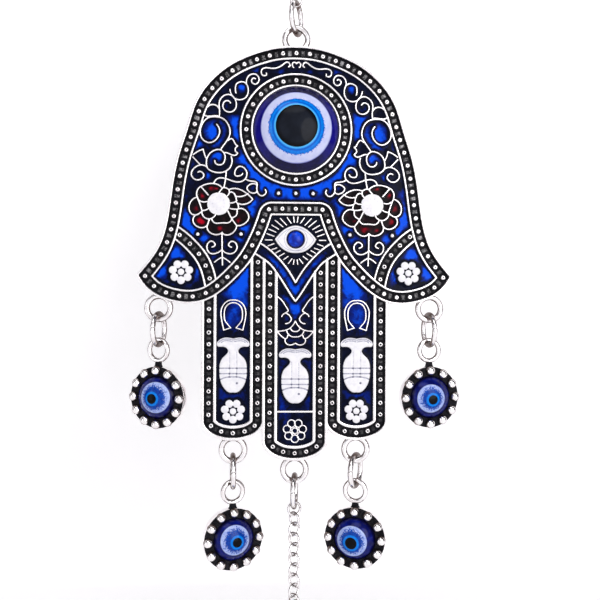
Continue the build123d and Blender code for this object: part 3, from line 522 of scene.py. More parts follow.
def add_wall(shape, row_at, inner, outer, top=WALL_HEIGHT, closed=True):
    """A wall between two depths along a line; row_at gives the line's points at a depth."""
    rows = [row_at(inner + (outer - inner) * share) for share, _, _ in WALL_STEPS]
    points = np.vstack([on_hand(row, top * high) for row, (_, high, _) in zip(rows, WALL_STEPS)])
    values = np.repeat([value for _, _, value in WALL_STEPS], len(rows[0]))
    shape.add(points, strip_faces(len(rows), len(rows[0]), closed), values, 0, FRONT)


def add_ridge(shape, line, width, top):
    """A fine raised line with round ends and a crowned top."""
    side = normals(line)
    profile = [(width / 2, 0.0, 0.0)] + [(s * width / 2, top - low, value) for s, low, value in RIDGE_STEPS]

    def cap(end, normal, reach):
        turns = math.atan2(normal[1], normal[0]) - np.linspace(0, math.pi, CAP_STEPS + 2)[1:-1]
        return end + reach * np.stack([np.cos(turns), np.sin(turns)], 1)

    rows = [
        np.vstack([line + side * reach, cap(line[-1], side[-1], reach),
                   (line - side * reach)[::-1], cap(line[0], -side[0], reach)])
        for reach, _, _ in profile
    ]
    count, size = len(line), len(rows[0])
    points = np.vstack([on_hand(row, h) for row, (_, h, _) in zip(rows, profile)])
    faces = strip_faces(len(rows), size)
    start = (len(rows) - 1) * size
    across = start + 2 * count + CAP_STEPS - 1
    faces += [[start + i, start + i + 1, across - i - 1, across - i] for i in range(count - 1)]
    faces.append([start + count - 1 + k for k in range(CAP_STEPS + 2)])
    faces.append([start + (2 * count + CAP_STEPS - 1 + k) % size for k in range(CAP_STEPS + 2)])
    shape.add(points, faces, np.repeat([value for _, _, value in profile], size), 0, FRONT)


def sheet_cells(low, high, pitch, keeps):
    """The cells of a flat grid that have a kept corner: places, which places are kept, and faces."""
    xs = np.arange(low[0], high[0] + pitch, pitch)
    zs = np.arange(low[1], high[1] + pitch, pitch)
    grid = np.stack(np.meshgrid(xs, zs, indexing="ij"), -1).reshape(-1, 2)
    kept = keeps(grid)
    index = np.arange(len(grid)).reshape(len(xs), len(zs))
    cells = np.stack([index[:-1, :-1], index[1:, :-1], index[1:, 1:], index[:-1, 1:]], -1).reshape(-1, 4)
    used, faces = np.unique(cells[kept[cells].any(1)], return_inverse=True)
    return grid[used], kept[used], faces.reshape(-1, 4).tolist()


def rim_tree(loops, pitch):
    """A tree of places at a pitch along closed loops."""
    return tree_of(np.vstack([resample(looped(loop), max(8, int(length(loop) / pitch))) for loop in loops]))


def add_relief(shape, loops, pitch, rise, value, skirt=True):
    """A sheet inside loops, its heights from rise(flat, depth), with a skirt down to the floor."""
    whole = np.vstack(loops)
    flat, kept, faces = sheet_cells(whole.min(0) - pitch, whole.max(0) + pitch, pitch,
                                    lambda grid: inside(grid, loops))
    tree = rim_tree(loops, pitch / 5)
    found = [tree.find((x, z, 0.0)) for x, z in flat]
    depth = np.array([gap for _, _, gap in found])
    snap = ~kept | (depth < 0.3 * pitch)
    flat = np.where(snap[:, None], [spot[:2] for spot, _, _ in found], flat)
    depth = np.where(snap, 0.0, depth)
    shape.add(on_hand(flat, rise(flat, depth)), faces, value(flat, depth), 0, FRONT)
    for loop in loops if skirt else ():
        ring = resample(looped(loop), max(12, int(length(loop) / pitch)))[:-1]
        sides = np.vstack([on_hand(ring, rise(ring, np.zeros(len(ring)))), on_hand(ring, 0.0)])
        shape.add(sides, strip_faces(2, len(ring)), 0.4)


def lathe(profile, segments):
    """Rows of a turned shape about w, as (u, v, w) points and faces. Radius zero ends in a point."""
    turns = round_turns(segments)
    rows = []
    for radius, w in profile:
        radius = max(radius, 1e-4)
        rows.append(np.stack([radius * np.cos(turns), radius * np.sin(turns), np.full(segments, w)], 1))
    return np.vstack(rows), strip_faces(len(profile), segments)


def hand_lathe(centre, profile, segments):
    """A turned shape that stands on the hand's floor."""
    points, faces = lathe(profile, segments)
    return on_hand(points[:, :2] + np.asarray(centre), points[:, 2]), faces


class Hung:
    """The plane of a ring or charm: its centre at (x, z), turned from facing the front."""

    def __init__(self, x, z, turn):
        turn = math.radians(turn)
        self.origin = np.array([x, 0.0, z])
        self.axes = np.array(
            [[math.cos(turn), math.sin(turn), 0], [0, 0, 1], [math.sin(turn), -math.cos(turn), 0]]
        )

    def points(self, local):
        return self.origin + np.asarray(local) @ self.axes

    def rubbed_and_shaded(self, outward):
        """How bright each place is: its front and back are bright, and its flanks as seen from the front
        are darkened as painted shade.
        """
        return np.clip((abs((outward @ self.axes)[:, 1]) - 0.40) / 0.34, 0, 1)


RING_GAP, WIRE_WEAR = 0.1, 0.03


def torus(size, segments, around, seed, gap_at=None):
    """A ring of wire, closed, or cut at an angle as a jump ring is, and the way that each point faces."""
    diameter, wire = size
    centre_radius, wire_radius = (diameter - wire) / 2, wire / 2
    phase = np.random.default_rng(seed).uniform(0, 2 * math.pi, 4)
    turns = round_turns(segments)
    if gap_at is not None:
        half_gap = RING_GAP / 2 / centre_radius
        turns = np.linspace(gap_at + half_gap, gap_at + 2 * math.pi - half_gap, segments)
    section = round_turns(around)
    rows = []
    for turn in turns:
        worn_and_shaded = (1 + math.sin(3 * turn + phase[0]) * math.sin(5 * turn + phase[1])) / 2
        thin = wire_radius * (1 - WIRE_WEAR * worn_and_shaded)
        reach = centre_radius + thin * np.cos(section)
        rows.append(np.stack([reach * math.cos(turn), reach * math.sin(turn), thin * np.sin(section)], 1))
    if gap_at is not None:
        tips = []
        for end, beside in ((0, 1), (-1, -2)):
            row, centre = rows[end], rows[end].mean(0)
            back = rows[beside].mean(0) - centre
            rows[end] = row + back / np.linalg.norm(back) * 0.06 * wire
            tips.append(centre + (row - centre) * 0.86)
        rows = [tips[0], *rows, tips[1]]
    points = np.vstack(rows)
    outward = np.vstack([row - row.mean(0) for row in rows])
    outward /= np.linalg.norm(outward, axis=1)[:, None]
    faces = strip_faces(len(rows), around, joined=gap_at is None)
    if gap_at is not None:
        faces += [list(range(around)), list(range(len(points) - around, len(points)))]
    return points, faces, outward


# Looks

class Look:
    """A material with short calls for its nodes."""

    def __init__(self, name):
        self.material = bpy.data.materials.new(name)
        self.material.use_nodes = True
        self.tree = self.material.node_tree
        self.shader = self.tree.nodes["Principled BSDF"]
        self.coordinates = self.tree.nodes.new("ShaderNodeTexCoord").outputs["Object"]

    def node(self, kind, output=0, settings=None, **inputs):
        made = self.tree.nodes.new(kind)
        for key, value in (settings or {}).items():
            setattr(made, key, value)
        for key, value in inputs.items():
            socket = made.inputs[int(key[1:])] if key[0] == "i" and key[1:].isdigit() else made.inputs[key]
            self.put(socket, value)
        return made.outputs[output]

    def put(self, socket, value):
        if isinstance(value, bpy.types.NodeSocket):
            self.tree.links.new(value, socket)
        else:
            socket.default_value = value

    def set(self, **values):
        for key, value in values.items():
            self.put(self.shader.inputs[key.replace("_", " ")], value)
        return self

    def noise(self, size, detail=2.0, rough=0.5, spread=0.0):
        """Noise with features of a size in millimetres."""
        return self.node("ShaderNodeTexNoise", Vector=self.coordinates, Scale=1000.0 / size, Detail=detail,
                         Roughness=rough, Distortion=spread)

    def value(self, name):
        return self.node("ShaderNodeAttribute", 2, {"attribute_name": name})

    def along(self, axis):
        """How far along one of the object's own axes, in metres."""
        return self.node("ShaderNodeSeparateXYZ", axis, i0=self.coordinates)

    def sum(self, a, b, operation="ADD"):
        return self.node("ShaderNodeMath", 0, {"operation": operation}, i0=a, i1=b)

    def times(self, a, b):
        return self.sum(a, b, "MULTIPLY")

    def span(self, value, low, high, to_low=0.0, to_high=1.0):
        """A value's way between low and high, as a share."""
        return self.node("ShaderNodeMapRange", 0, {"interpolation_type": "SMOOTHSTEP"}, i0=value, i1=low,
                         i2=high, i3=to_low, i4=to_high)

    def mix(self, share, *colours):
        first, second = (c if isinstance(c, bpy.types.NodeSocket) else (*c, 1.0) for c in colours)
        return self.node("ShaderNodeMix", 2, {"data_type": "RGBA"}, i0=share, i6=first, i7=second)

    def bump(self, shape, depth, strength, under=None):
        """A bump of a depth in millimetres."""
        below = {} if under is None else {"Normal": under}
        return self.node("ShaderNodeBump", Strength=strength, Distance=depth * MM, Height=shape, **below)

    def radius(self, centre=(0.0, 0.0)):
        """The distance in millimetres from an axis that faces the front, beside the object's own."""
        x, z = (self.sum(self.times(self.along(axis), 1000.0), middle, "SUBTRACT")
                for axis, middle in zip((0, 2), centre))
        return self.sum(self.sum(self.times(x, x), self.times(z, z)), 0.0, "SQRT")

    def glaze(self, weight, rough=0.03, under=0.05):
        """A clear polish over the colour."""
        return self.set(Coat_Weight=weight, Coat_Roughness=rough, Coat_IOR=1.5, Specular_IOR_Level=under)

    def glass(self, colour, coat, rough, ripple, depth=0.01):
        """The material as glass under a clear polish, with ripples from noise (size, detail, roughness)."""
        self.set(Base_Color=colour, Roughness=rough).glaze(coat)
        return self.set(Normal=self.bump(self.noise(*ripple), depth, 0.3)).material


def cast_silver():
    """Polished where it stands proud, blackened towards the recesses."""
    look = Look("cast_silver")
    speckle = look.noise(0.35, 3.0, 0.6)
    proud = look.sum(look.value("rise"), look.span(speckle, 0.3, 0.7, -0.10, 0.10))
    mask = look.span(proud, 0.36, 0.62)
    tarnish = look.span(look.noise(4.0, 3.0, 0.6), 0.42, 0.72)
    metal = look.mix(tarnish, (0.96, 0.94, 0.95), (0.86, 0.81, 0.82))
    look.set(Base_Color=look.mix(mask, (0.006, 0.0055, 0.008), metal))
    look.set(Metallic=look.span(mask, 0, 1, 0.35, 1.0), Specular_IOR_Level=look.span(mask, 0, 1, 0.08, 0.5))
    roughness = look.sum(look.span(mask, 0, 1, 0.5, 0.24), look.span(speckle, 0.3, 0.7, -0.04, 0.06))
    grain = look.bump(look.noise(0.16, 2.0, 0.6), 0.008, 0.4)
    look.set(Roughness=roughness, Normal=look.bump(look.noise(1.1, 2.0, 0.5), 0.03, 0.5, grain))
    return look.material


def bright_silver():
    """Plated wire and polished castings: bright where rubbed and where they face the front or back, with
    painted shade in a dark brown tone on their flanks.
    """
    look = Look("bright_silver")
    scuffs = look.noise(0.5, 4.0, 0.65, spread=0.6)
    cloud = look.noise(3.0, 2.0, 0.5)
    wear = look.span(look.noise(0.8, 3.0, 0.6), 0.3, 0.7, -0.22, 0.22)
    rubbed_and_shaded = look.span(look.sum(look.value("rise"), wear), 0.3, 0.75)
    silver = look.mix(look.span(cloud, 0.4, 0.7), (0.95, 0.93, 0.935), (0.84, 0.80, 0.80))
    painted_flank_shade = look.mix(look.span(scuffs, 0.35, 0.65), (0.085, 0.058, 0.048), (0.22, 0.17, 0.155))
    look.set(Base_Color=look.mix(rubbed_and_shaded, painted_flank_shade, silver), Metallic=1.0)
    worn_and_shaded = look.sum(look.span(scuffs, 0.35, 0.7, 0.08, 0.22), look.span(cloud, 0.3, 0.7, 0.0, 0.05))
    look.set(Roughness=look.sum(worn_and_shaded, look.span(rubbed_and_shaded, 0.0, 1.0, 0.16, 0.0)))
    look.set(Normal=look.bump(look.noise(0.9, 2.0, 0.5), 0.03, 0.5, look.bump(scuffs, 0.006, 0.4)))
    return look.material


def back_silver():
    """The back of the casting: tumbled, with fine hatching left by the mould."""
    look = Look("back_silver")
    hatch = look.node("ShaderNodeTexWave", 1, {"bands_direction": "DIAGONAL"}, Vector=look.coordinates,
                      Scale=420.0, Distortion=1.2, Detail=2.0)
    cloud = look.noise(6.0, 3.0, 0.6)
    grey = look.mix(look.span(cloud, 0.35, 0.7), (0.74, 0.72, 0.72), (0.58, 0.56, 0.56))
    look.set(Base_Color=grey, Metallic=1.0)
    look.set(Roughness=look.span(cloud, 0.3, 0.7, 0.3, 0.46))
    look.set(Normal=look.bump(hatch, 0.03, 0.35, look.bump(look.noise(0.3, 3.0, 0.6), 0.02, 0.5)))
    return look.material


def blackened(name, low, high, metallic, grain=0.25, shared=False):
    """Patina rubbed bright in spots; a shared look is rubbed only as far as the piece's values say."""
    look = Look(name)
    spots = look.noise(grain, 4.0, 0.7)
    rubbed_and_shaded = look.span(look.sum(spots, look.span(look.noise(2.2), 0.3, 0.7, -0.08, 0.08)), 0.36, 0.70)
    if shared:
        rubbed_and_shaded = look.times(rubbed_and_shaded, look.value("rise"))
    look.set(Base_Color=look.mix(rubbed_and_shaded, low, high), Metallic=metallic)
    look.set(Roughness=look.span(spots, 0.3, 0.7, 0.48, 0.66), Specular_IOR_Level=0.07)
    look.set(Normal=look.bump(spots, 0.05, 0.7))
    return look.material


def enamel(name, shade, deep, middle, bright):
    """Translucent enamel: painted shade near black by the walls, and pools of painted light in the open
    fields.
    """
    look = Look(name)
    wander = look.noise(0.9, 3.0, 0.6)
    cloud = look.noise(2.2, 4.0, 0.6, spread=0.8)
    edge = look.sum(look.value("edge"), look.span(wander, 0.3, 0.7, -0.14, 0.14))
    lit = look.sum(look.value("glow"), look.span(cloud, 0.3, 0.7, -0.20, 0.14))
    lit = look.times(lit, look.span(edge, 0.10, 0.85))
    field = look.mix(look.span(cloud, 0.38, 0.65), shade, deep)
    ground = look.mix(look.span(edge, 0.10, 0.7), shade, field)
    base = look.mix(look.span(lit, 0.08, 0.45), ground, middle)
    look.set(Base_Color=look.mix(look.span(lit, 0.36, 0.80), base, bright), Roughness=0.35)
    look.glaze(0.07, 0.06, 0.02)
    look.set(Normal=look.bump(look.noise(1.6, 2.0, 0.5), 0.05, 0.5))
    look.put(look.shader.inputs["Coat Normal"], look.bump(look.noise(3.5, 1.0, 0.4), 0.12, 0.5))
    return look.material


def white_enamel():
    """White enamel, with painted shade in grooves and hollows and at the foot of its edges."""
    look = Look("white_enamel")
    worn_and_shaded = look.sum(look.value("rise"), look.span(look.noise(0.3, 3.0, 0.6), 0.3, 0.7, -0.10, 0.10))
    cloud = look.span(look.noise(1.2, 3.0, 0.6), 0.38, 0.66)
    tone = look.mix(cloud, (0.94, 0.93, 0.95), (0.86, 0.85, 0.90))
    shade = look.mix(look.span(worn_and_shaded, 0.1, 0.5), (0.07, 0.075, 0.13), (0.50, 0.50, 0.60))
    look.set(Base_Color=look.mix(look.span(worn_and_shaded, 0.5, 0.85), shade, tone))
    look.set(Roughness=look.span(worn_and_shaded, 0.2, 0.7, 0.5, 0.26)).glaze(0.6, 0.08)
    look.set(Normal=look.bump(look.noise(0.5, 2.0, 0.5), 0.06, 0.6))
    return look.material


def stone_glass():
    """The panel eye's blue stone, darker at its foot, with faint swirls."""
    look = Look("stone_blue_glass")
    cloud = look.span(look.noise(1.8, 3.0, 0.55, 0.4), 0.35, 0.68)
    blue = look.mix(cloud, (0.002, 0.015, 0.30), (0.003, 0.070, 0.80))
    colour = look.mix(look.span(look.radius(), 1.60, 1.95), blue, (0.002, 0.003, 0.05))
    return look.glass(colour, 0.3, 0.25, (2.4, 1.0, 0.4))


def palm_glass():
    """The outer glass of the palm's eye: painted light on its sides, deep above and below."""
    look = Look("palm_blue_glass")
    side = look.sum(look.along(0), 0.0, "ABSOLUTE")
    cloud = look.span(look.noise(1.5, 3.0, 0.55, 0.5), 0.3, 0.7)
    deep = look.mix(cloud, (0.0015, 0.001, 0.032), (0.003, 0.002, 0.060))
    lit = look.mix(cloud, (0.006, 0.004, 0.18), (0.010, 0.007, 0.25))
    base = look.mix(look.span(side, 4.5 * MM, 9.2 * MM), deep, lit)
    colour = look.mix(look.span(look.radius(), 9.6, 10.15), base, (0.003, 0.002, 0.04))
    return look.glass(colour, 0.35, 0.25, (2.4, 1.0, 0.4))


def palm_white():
    """The white ring of the palm's eye, with specks of blue where the iris was laid on it."""
    look = Look("palm_white_glass")
    radius = look.radius()
    tone = look.mix(look.span(look.noise(1.4, 3.0), 0.35, 0.7), (0.66, 0.70, 0.96), (0.57, 0.61, 0.92))
    ragged = look.sum(radius, look.span(look.noise(0.42, 4.0, 0.75), 0.25, 0.75, -0.5, 0.5))
    blue = look.mix(look.span(look.noise(0.35, 2.0), 0.45, 0.6), (0.0, 0.20, 0.80), (0.03, 0.09, 0.45))
    base = look.mix(look.span(ragged, 6.42, 6.62), blue, tone)
    colour = look.mix(look.span(radius, 8.12, 8.38), base, (0.20, 0.22, 0.66))
    return look.glass(colour, 0.4, 0.3, (0.5, 2.0, 0.5))


def palm_iris():
    """The azure ring: a pale line round the pupil, a darker one beyond it, and a mottled outer edge."""
    look = Look("palm_azure_glass")
    radius = look.radius()
    mottle = look.span(look.noise(0.5, 4.0, 0.7), 0.35, 0.68)
    azure = look.mix(mottle, (0.0, 0.24, 0.88), (0.0, 0.17, 0.72))
    outer = look.mix(look.span(look.noise(0.32, 3.0, 0.7), 0.42, 0.62), azure, (0.0, 0.06, 0.40))
    ring = look.mix(look.span(radius, 5.15, 5.35), (0.07, 0.46, 0.93), azure)
    line = look.mix(look.span(radius, 5.38, 5.52), ring, (0.0, 0.10, 0.58))
    base = look.mix(look.span(radius, 5.62, 5.85), line, azure)
    return look.glass(look.mix(look.span(radius, 5.95, 6.45), base, outer), 0.4, 0.28, (0.8, 2.0, 0.5))


def pupil_glass():
    """Black glass, a touch paler in the middle."""
    look = Look("pupil_glass")
    radius = look.radius()
    grey = look.mix(look.span(look.noise(3.0, 2.0), 0.3, 0.7), (0.006, 0.008, 0.014), (0.010, 0.013, 0.022))
    look.set(Base_Color=look.mix(look.span(radius, 3.6, 4.8), grey, (0.002, 0.002, 0.003)))
    look.set(Roughness=0.35).glaze(0.14, 0.12, 0.02)
    look.set(Normal=look.bump(look.noise(2.0, 2.0, 0.5), 0.008, 0.3))
    return look.material


def charm_eye(name, ring_at, ring_size, pupil_at, pupil_size):
    """A small eye, a little off its axis: pupil, bright ring, ragged iris, pale ring and deep glass."""
    look = Look(name)
    ring, pupil = look.radius(ring_at), look.radius(pupil_at)
    fine = look.noise(0.34, 4.0, 0.8)
    pale = look.mix(look.span(look.noise(0.9, 3.0), 0.35, 0.65), (0.36, 0.46, 0.88), (0.50, 0.60, 0.94))
    iris = look.mix(look.span(fine, 0.40, 0.62), (0.003, 0.075, 0.47), (0.004, 0.018, 0.22))
    bright = look.mix(look.span(fine, 0.35, 0.7), (0.0, 0.24, 0.85), (0.0, 0.16, 0.70))
    cloud = look.span(look.noise(1.3, 3.0, 0.55, 0.4), 0.35, 0.68)
    deep = look.mix(cloud, (0.002, 0.004, 0.09), (0.003, 0.010, 0.19))
    ragged = look.sum(ring, look.span(fine, 0.25, 0.75, -0.9, 0.9))
    colour = look.mix(look.span(pupil, pupil_size - 0.05, pupil_size + 0.05), (0.002, 0.002, 0.003), bright)
    colour = look.mix(look.span(pupil, pupil_size + 0.42, pupil_size + 0.6), colour, iris)
    outside = look.span(pupil, pupil_size + 0.5, pupil_size + 0.8)
    pale_here = look.times(look.span(ragged, ring_size - 0.95, ring_size - 0.6), outside)
    pale_here = look.times(pale_here, look.span(ring, ring_size - 1.5, ring_size - 1.0))
    colour = look.mix(pale_here, colour, pale)
    colour = look.mix(look.span(ring, ring_size - 0.08, ring_size + 0.08), colour, deep)
    colour = look.mix(look.span(look.radius(), 4.35, 4.85), colour, (0.002, 0.002, 0.03))
    return look.glass(colour, look.span(pupil, 1.0, 1.6, 0.08, 0.22), 0.25, (1.2, 1.0, 0.4), 0.008)


CAST, BRIGHT, BACK_METAL = cast_silver(), bright_silver(), back_silver()
RECESS = blackened("blackened_recess", (0.005, 0.005, 0.007), (0.022, 0.021, 0.026), 0.2)
PAD = blackened("blackened_pad", (0.018, 0.017, 0.020), (0.62, 0.61, 0.63), 0.8, 0.3, True)
# Colours in painted shade by the walls, in the depth of a field, and in half and in full painted light
BLUE = enamel("cobalt_enamel", (0.0012, 0.002, 0.010), (0.003, 0.006, 0.034),
              (0.001, 0.013, 0.20), (0.001, 0.080, 0.80))
NAVY = enamel("navy_enamel", (0.002, 0.003, 0.010), (0.005, 0.008, 0.026),
              (0.008, 0.014, 0.07), (0.01, 0.03, 0.16))
RED = enamel("garnet_enamel", (0.004, 0.003, 0.004), (0.016, 0.005, 0.009),
             (0.07, 0.002, 0.007), (0.42, 0.002, 0.016))
WHITE = white_enamel()
SILVER = "silver_metal"


# The hand's outlines

def both_halves(shares):
    """One smooth line across the hand from shares of its right half that start on the middle."""
    return spline(places(shares, -1)[:0:-1] + places(shares), 0.25)


foot_right = spline(places(palm_foot_shares), 0.25)
foot_left = foot_right[::-1] * (-1, 1)
bar_end = place(palm_foot_shares[-1])
bar = resample(np.array([bar_end, (-bar_end[0], bar_end[1])]), 24)
palm_pieces = [both_halves(palm_top_shares), foot_right, bar, foot_left]
upper_chevron, lower_chevron = spline(places(upper_chevron_shares)), spline(places(lower_chevron_shares))


def palm_row(depth):
    return inset_row(palm_pieces, depth)


def under_palm(x):
    """The height of the palm's lower edge at x."""
    x = np.abs(x)
    order = np.argsort(foot_right[:, 0])
    return np.where(x < bar_end[0], bar_end[1], np.interp(x, foot_right[order, 0], foot_right[order, 1]))


def chevron_height(line, x):
    order = np.argsort(line[:, 0])
    return np.interp(np.abs(x), line[order, 0], line[order, 1], right=99.0)


def foot_height(x):
    """The height at x where the fingers come out from under the palm and its panel."""
    return np.minimum(under_palm(x), chevron_height(lower_chevron, x))


SIDE_COUNT, TIP_COUNT = 70, 61


def finger_row(name, depth, lift=0.2):
    """A finger's edge at a depth, down one side, round the tip and up the other."""
    x, width, tip = fingers[name]
    start = tip + TIP_ROUND
    reach = width / 2 - depth
    turns = np.radians(np.linspace(180, 360, TIP_COUNT))
    out = np.stack([np.cos(turns) / (width / 2), np.sin(turns) / TIP_ROUND], 1)
    out /= np.linalg.norm(out, axis=1)[:, None]
    arc = np.stack([x + width / 2 * np.cos(turns), start + TIP_ROUND * np.sin(turns)], 1) - out * depth
    tops = foot_height(np.array([x - reach, x + reach])) + lift
    down = np.linspace(tops[0], start, SIDE_COUNT, endpoint=False)
    rising = np.linspace(start, tops[1], SIDE_COUNT + 1)[1:]
    left_side = np.stack([np.full(SIDE_COUNT, x - reach), down], 1)
    right_side = np.stack([np.full(SIDE_COUNT, x + reach), rising], 1)
    return np.vstack([left_side, arc, right_side])


def union_outline(loops):
    """The places and triangles of the union of closed loops, and its rims as place numbers."""
    corners, faces = [], []
    for loop in loops:
        faces.append(list(range(len(corners), len(corners) + len(loop))))
        corners += [Vector(point) for point in loop]
    spots, _, triangles, _, _, _ = delaunay_2d_cdt(corners, [], faces, 1, 1e-5)
    spots = np.array([tuple(spot) for spot in spots])
    triangles = [list(t) for t in triangles]
    a, b, c = (spots[[t[k] for t in triangles]] for k in range(3))
    area = (b[:, 0] - a[:, 0]) * (c[:, 1] - a[:, 1]) - (b[:, 1] - a[:, 1]) * (c[:, 0] - a[:, 0])
    triangles = [t if s > 0 else t[::-1] for t, s in zip(triangles, area)]
    directed = {(t[k], t[(k + 1) % 3]) for t in triangles for k in range(3)}
    following = {u: v for u, v in directed if (v, u) not in directed}
    rims = []
    while following:
        start = next(iter(following))
        ring = [start]
        while ring[-1] in following:
            ring.append(following.pop(ring[-1]))
        rims.append(ring[:-1])
    return spots, triangles, rims


def without_doubles(row):
    """A closed loop without the points that come right before their double."""
    steps = np.linalg.norm(np.diff(looped(row), axis=0), axis=1)
    return row[steps > 1e-6]


palm_edge = without_doubles(palm_row(0.0))
palm_middle_wall = without_doubles(palm_row(palm_border - PALM_WALL / 2))
palm_center = place(palm_eye_share)


# The slab, with its lugs

panel_foot = [(9.0, bar_end[1]), (-9.0, bar_end[1])]
panel_area = np.vstack([lower_chevron * (-1, 1), lower_chevron[::-1], panel_foot])
finger_areas = [finger_row(name, 0.0, 3.0) for name in fingers]
spots, triangles, rims = union_outline([palm_edge, *finger_areas, panel_area])

slab = Shape()
slab.add(on_hand(spots, 0.0), triangles, 0.0, 1, FRONT)
back_spots = spots.copy()
side_rows = [(0.0, -FLOOR), (0.0, BACK - 0.42), (0.05, BACK - 0.2), (0.18, BACK - 0.06), (0.36, BACK)]
for rim in rims:
    ring = spots[rim]
    ahead = np.roll(ring, -1, axis=0) - np.roll(ring, 1, axis=0)
    ahead /= np.maximum(np.linalg.norm(ahead, axis=1)[:, None], 1e-9)
    inward = np.stack([-ahead[:, 1], ahead[:, 0]], 1)
    back_spots[rim] = ring + inward * side_rows[-1][0]
    rows = []
    for depth, y in side_rows:
        flat = ring + inward * depth
        rows.append(np.stack([flat[:, 0], np.full(len(flat), y), flat[:, 1]], 1))
    slab.add(np.vstack(rows), strip_faces(len(rows), len(ring), True), 1.0, 0)
back = np.stack([back_spots[:, 0], np.full(len(spots), BACK), back_spots[:, 1]], 1)
slab.add(back, triangles, 1.0, 2, (0, 1, 0))
lug_points, lug_faces, lug_outward = torus(LUG, 72, 28, 5)
for x, z in [top_lug, *lugs.values()]:
    hung = Hung(x, z, 0)
    slab.add(hung.points(lug_points), lug_faces, hung.rubbed_and_shaded(lug_outward), 0)
slab.make("hand_casting", [BRIGHT, RECESS, BACK_METAL], "hand", "hand_plate", SILVER, 50)


# The palm's walls, with the bands across its corners and the two rings round its eye

walls = Shape()
add_wall(walls, palm_row, 0.0, PALM_RIM)
add_wall(walls, palm_row, PALM_RIM + PALM_CHANNEL, palm_border)


def ring_row(centre, diameter):
    """A circle as add_wall asks for it, by its depth inside a diameter."""
    return lambda depth: circle(centre, diameter - 2 * depth, 160)


eye_seat = PALM_EYE + 0.1
add_wall(walls, ring_row(palm_center, EYE_FENCE), 0.0, FENCE_WALL)
add_wall(walls, ring_row(palm_center, eye_seat + 2 * FENCE_WALL), 0.0, FENCE_WALL)

corner_line = spline(places(corner_band_shares))
corner_out = normals(corner_line)
band_half = PALM_CHANNEL / 2 + PALM_WALL
BOTH_BANDS = [(side, sign) for side in (1, -1) for sign in (1, -1)]


def band_row(side, sign, depth):
    """An edge of a corner band at a depth, where it runs inside the palm's border."""
    moved = lengthened(corner_line + corner_out * sign * (band_half - depth), 1.5)
    fine = resample(moved, 240)
    return resample(trimmed(fine, inside(fine, [palm_middle_wall]), 1), 90) * (side, 1)


for side, sign in BOTH_BANDS:
    add_wall(walls, lambda depth: band_row(side, sign, depth), 0.0, PALM_WALL, WALL_HEIGHT - 0.01, False)
walls.make("palm_border_walls", [CAST], "hand", "palm_walls", SILVER, 60)


# The fingers' walls, horseshoes, palmette, divider and open daisy

LINE_PITCH, PALMETTE_WIDTH = 0.12, 0.36
rails = Shape()
for name in fingers:
    add_wall(rails, lambda depth: finger_row(name, depth), FINGER_RIM + FINGER_CHANNEL, finger_border,
             closed=False)
for name, part, top in (
    ("middle", slice(None), WALL_HEIGHT),
    ("left", slice(SIDE_COUNT + TIP_COUNT), WALL_HEIGHT - 0.01),
    ("right", slice(SIDE_COUNT, None), WALL_HEIGHT - 0.01),
):
    add_wall(rails, lambda depth: finger_row(name, depth)[part], 0.0, FINGER_RIM, top, False)
divider_z = height(divider_share)
divider_reach = MIDDLE_FINGER / 2 - finger_border + 0.2
divider = np.array([(-divider_reach, divider_z), (divider_reach, divider_z)])
add_ridge(rails, resample(divider, 40), 0.5, 0.88)
palmette_lines = [spline(places(shares, side), LINE_PITCH)
                  for shares in palmette_shares for side in (1, -1)]
for line in palmette_lines:
    add_ridge(rails, line, PALMETTE_WIDTH, 0.86)
for side in (-1, 1):
    centre = np.array([side * finger_x, height(horseshoe_share)])
    lines = []
    for shares in (horseshoe_outer_shares, horseshoe_inner_shares):
        down = [(share[0], -share[1]) for share in shares]
        whole = [(-x, z) for x, z in down[:0:-1]] + down
        lines.append(spline(centre + np.array(whole) * HORSESHOE, LINE_PITCH))
    outer_line, inner_line = lines
    for line in lines:
        add_ridge(rails, line, PALMETTE_WIDTH, 0.9)
    for end in (0, -1):
        add_ridge(rails, resample(np.array([outer_line[end], inner_line[end]]), 8), 0.34, 0.88)
    add_relief(rails, [np.vstack([outer_line, inner_line[::-1]])], 0.14,
               lambda flat, depth: HORSESHOE_FLOOR - 0.05, lambda flat, depth: 0.49, skirt=False)
open_centre = (0.0, height(open_daisy_share))


def petal_centres(centre, diameter):
    """Seven places round a centre, the first straight down."""
    turns = 2 * np.pi * np.arange(7) / 7
    return np.asarray(centre) + diameter / 2 * np.stack([np.sin(turns), -np.cos(turns)], 1)


for number, spot in enumerate(petal_centres(open_centre, OPEN_CIRCLE)):
    add_wall(rails, ring_row(spot, OPEN_PETAL), 0.0, OPEN_LINE + 0.04, 0.84 + 0.006 * (number % 3))
add_wall(rails, ring_row(open_centre, OPEN_HEART), 0.0, OPEN_LINE + 0.04, 0.88)
rails.make("finger_border_walls", [CAST], "hand", "finger_walls", SILVER, 60)


# The fine lines: scrolls, petals, chevrons and lashes

WIRE_WIDTH, CHEVRON_WIDTH, LASH_WIDTH = 0.40, 0.5, 0.34
eye_fence_loop = circle(palm_center, EYE_FENCE - FENCE_WALL)
petal_edge = np.vstack([spline(places(shares), LINE_PITCH)[:-1] for shares in petal_edge_shares])
flower = place(flower_share)
wires = Shape()


def add_wires(rows, keeps, top):
    """Wires on both halves, each as far as it is kept. Their tops differ a little where they cross."""
    lines = []
    for number, shares in enumerate(rows):
        whole = spline(places(shares), LINE_PITCH)
        kept = keeps(whole)
        if kept.sum() < 3:
            continue
        for side in (1, -1):
            lines.append(trimmed(whole, kept) * (side, 1))
            add_ridge(wires, lines[-1], WIRE_WIDTH, top + 0.004 * (number % 5))
    return lines


def in_palm_field(line):
    return inside(line, [palm_middle_wall]) & ~inside(line, [eye_fence_loop]) & ~inside(line, [petal_edge])


def round_flower_centre(line):
    return np.hypot(*(line - flower).T) > FLOWER_CENTRE / 2 - 0.3


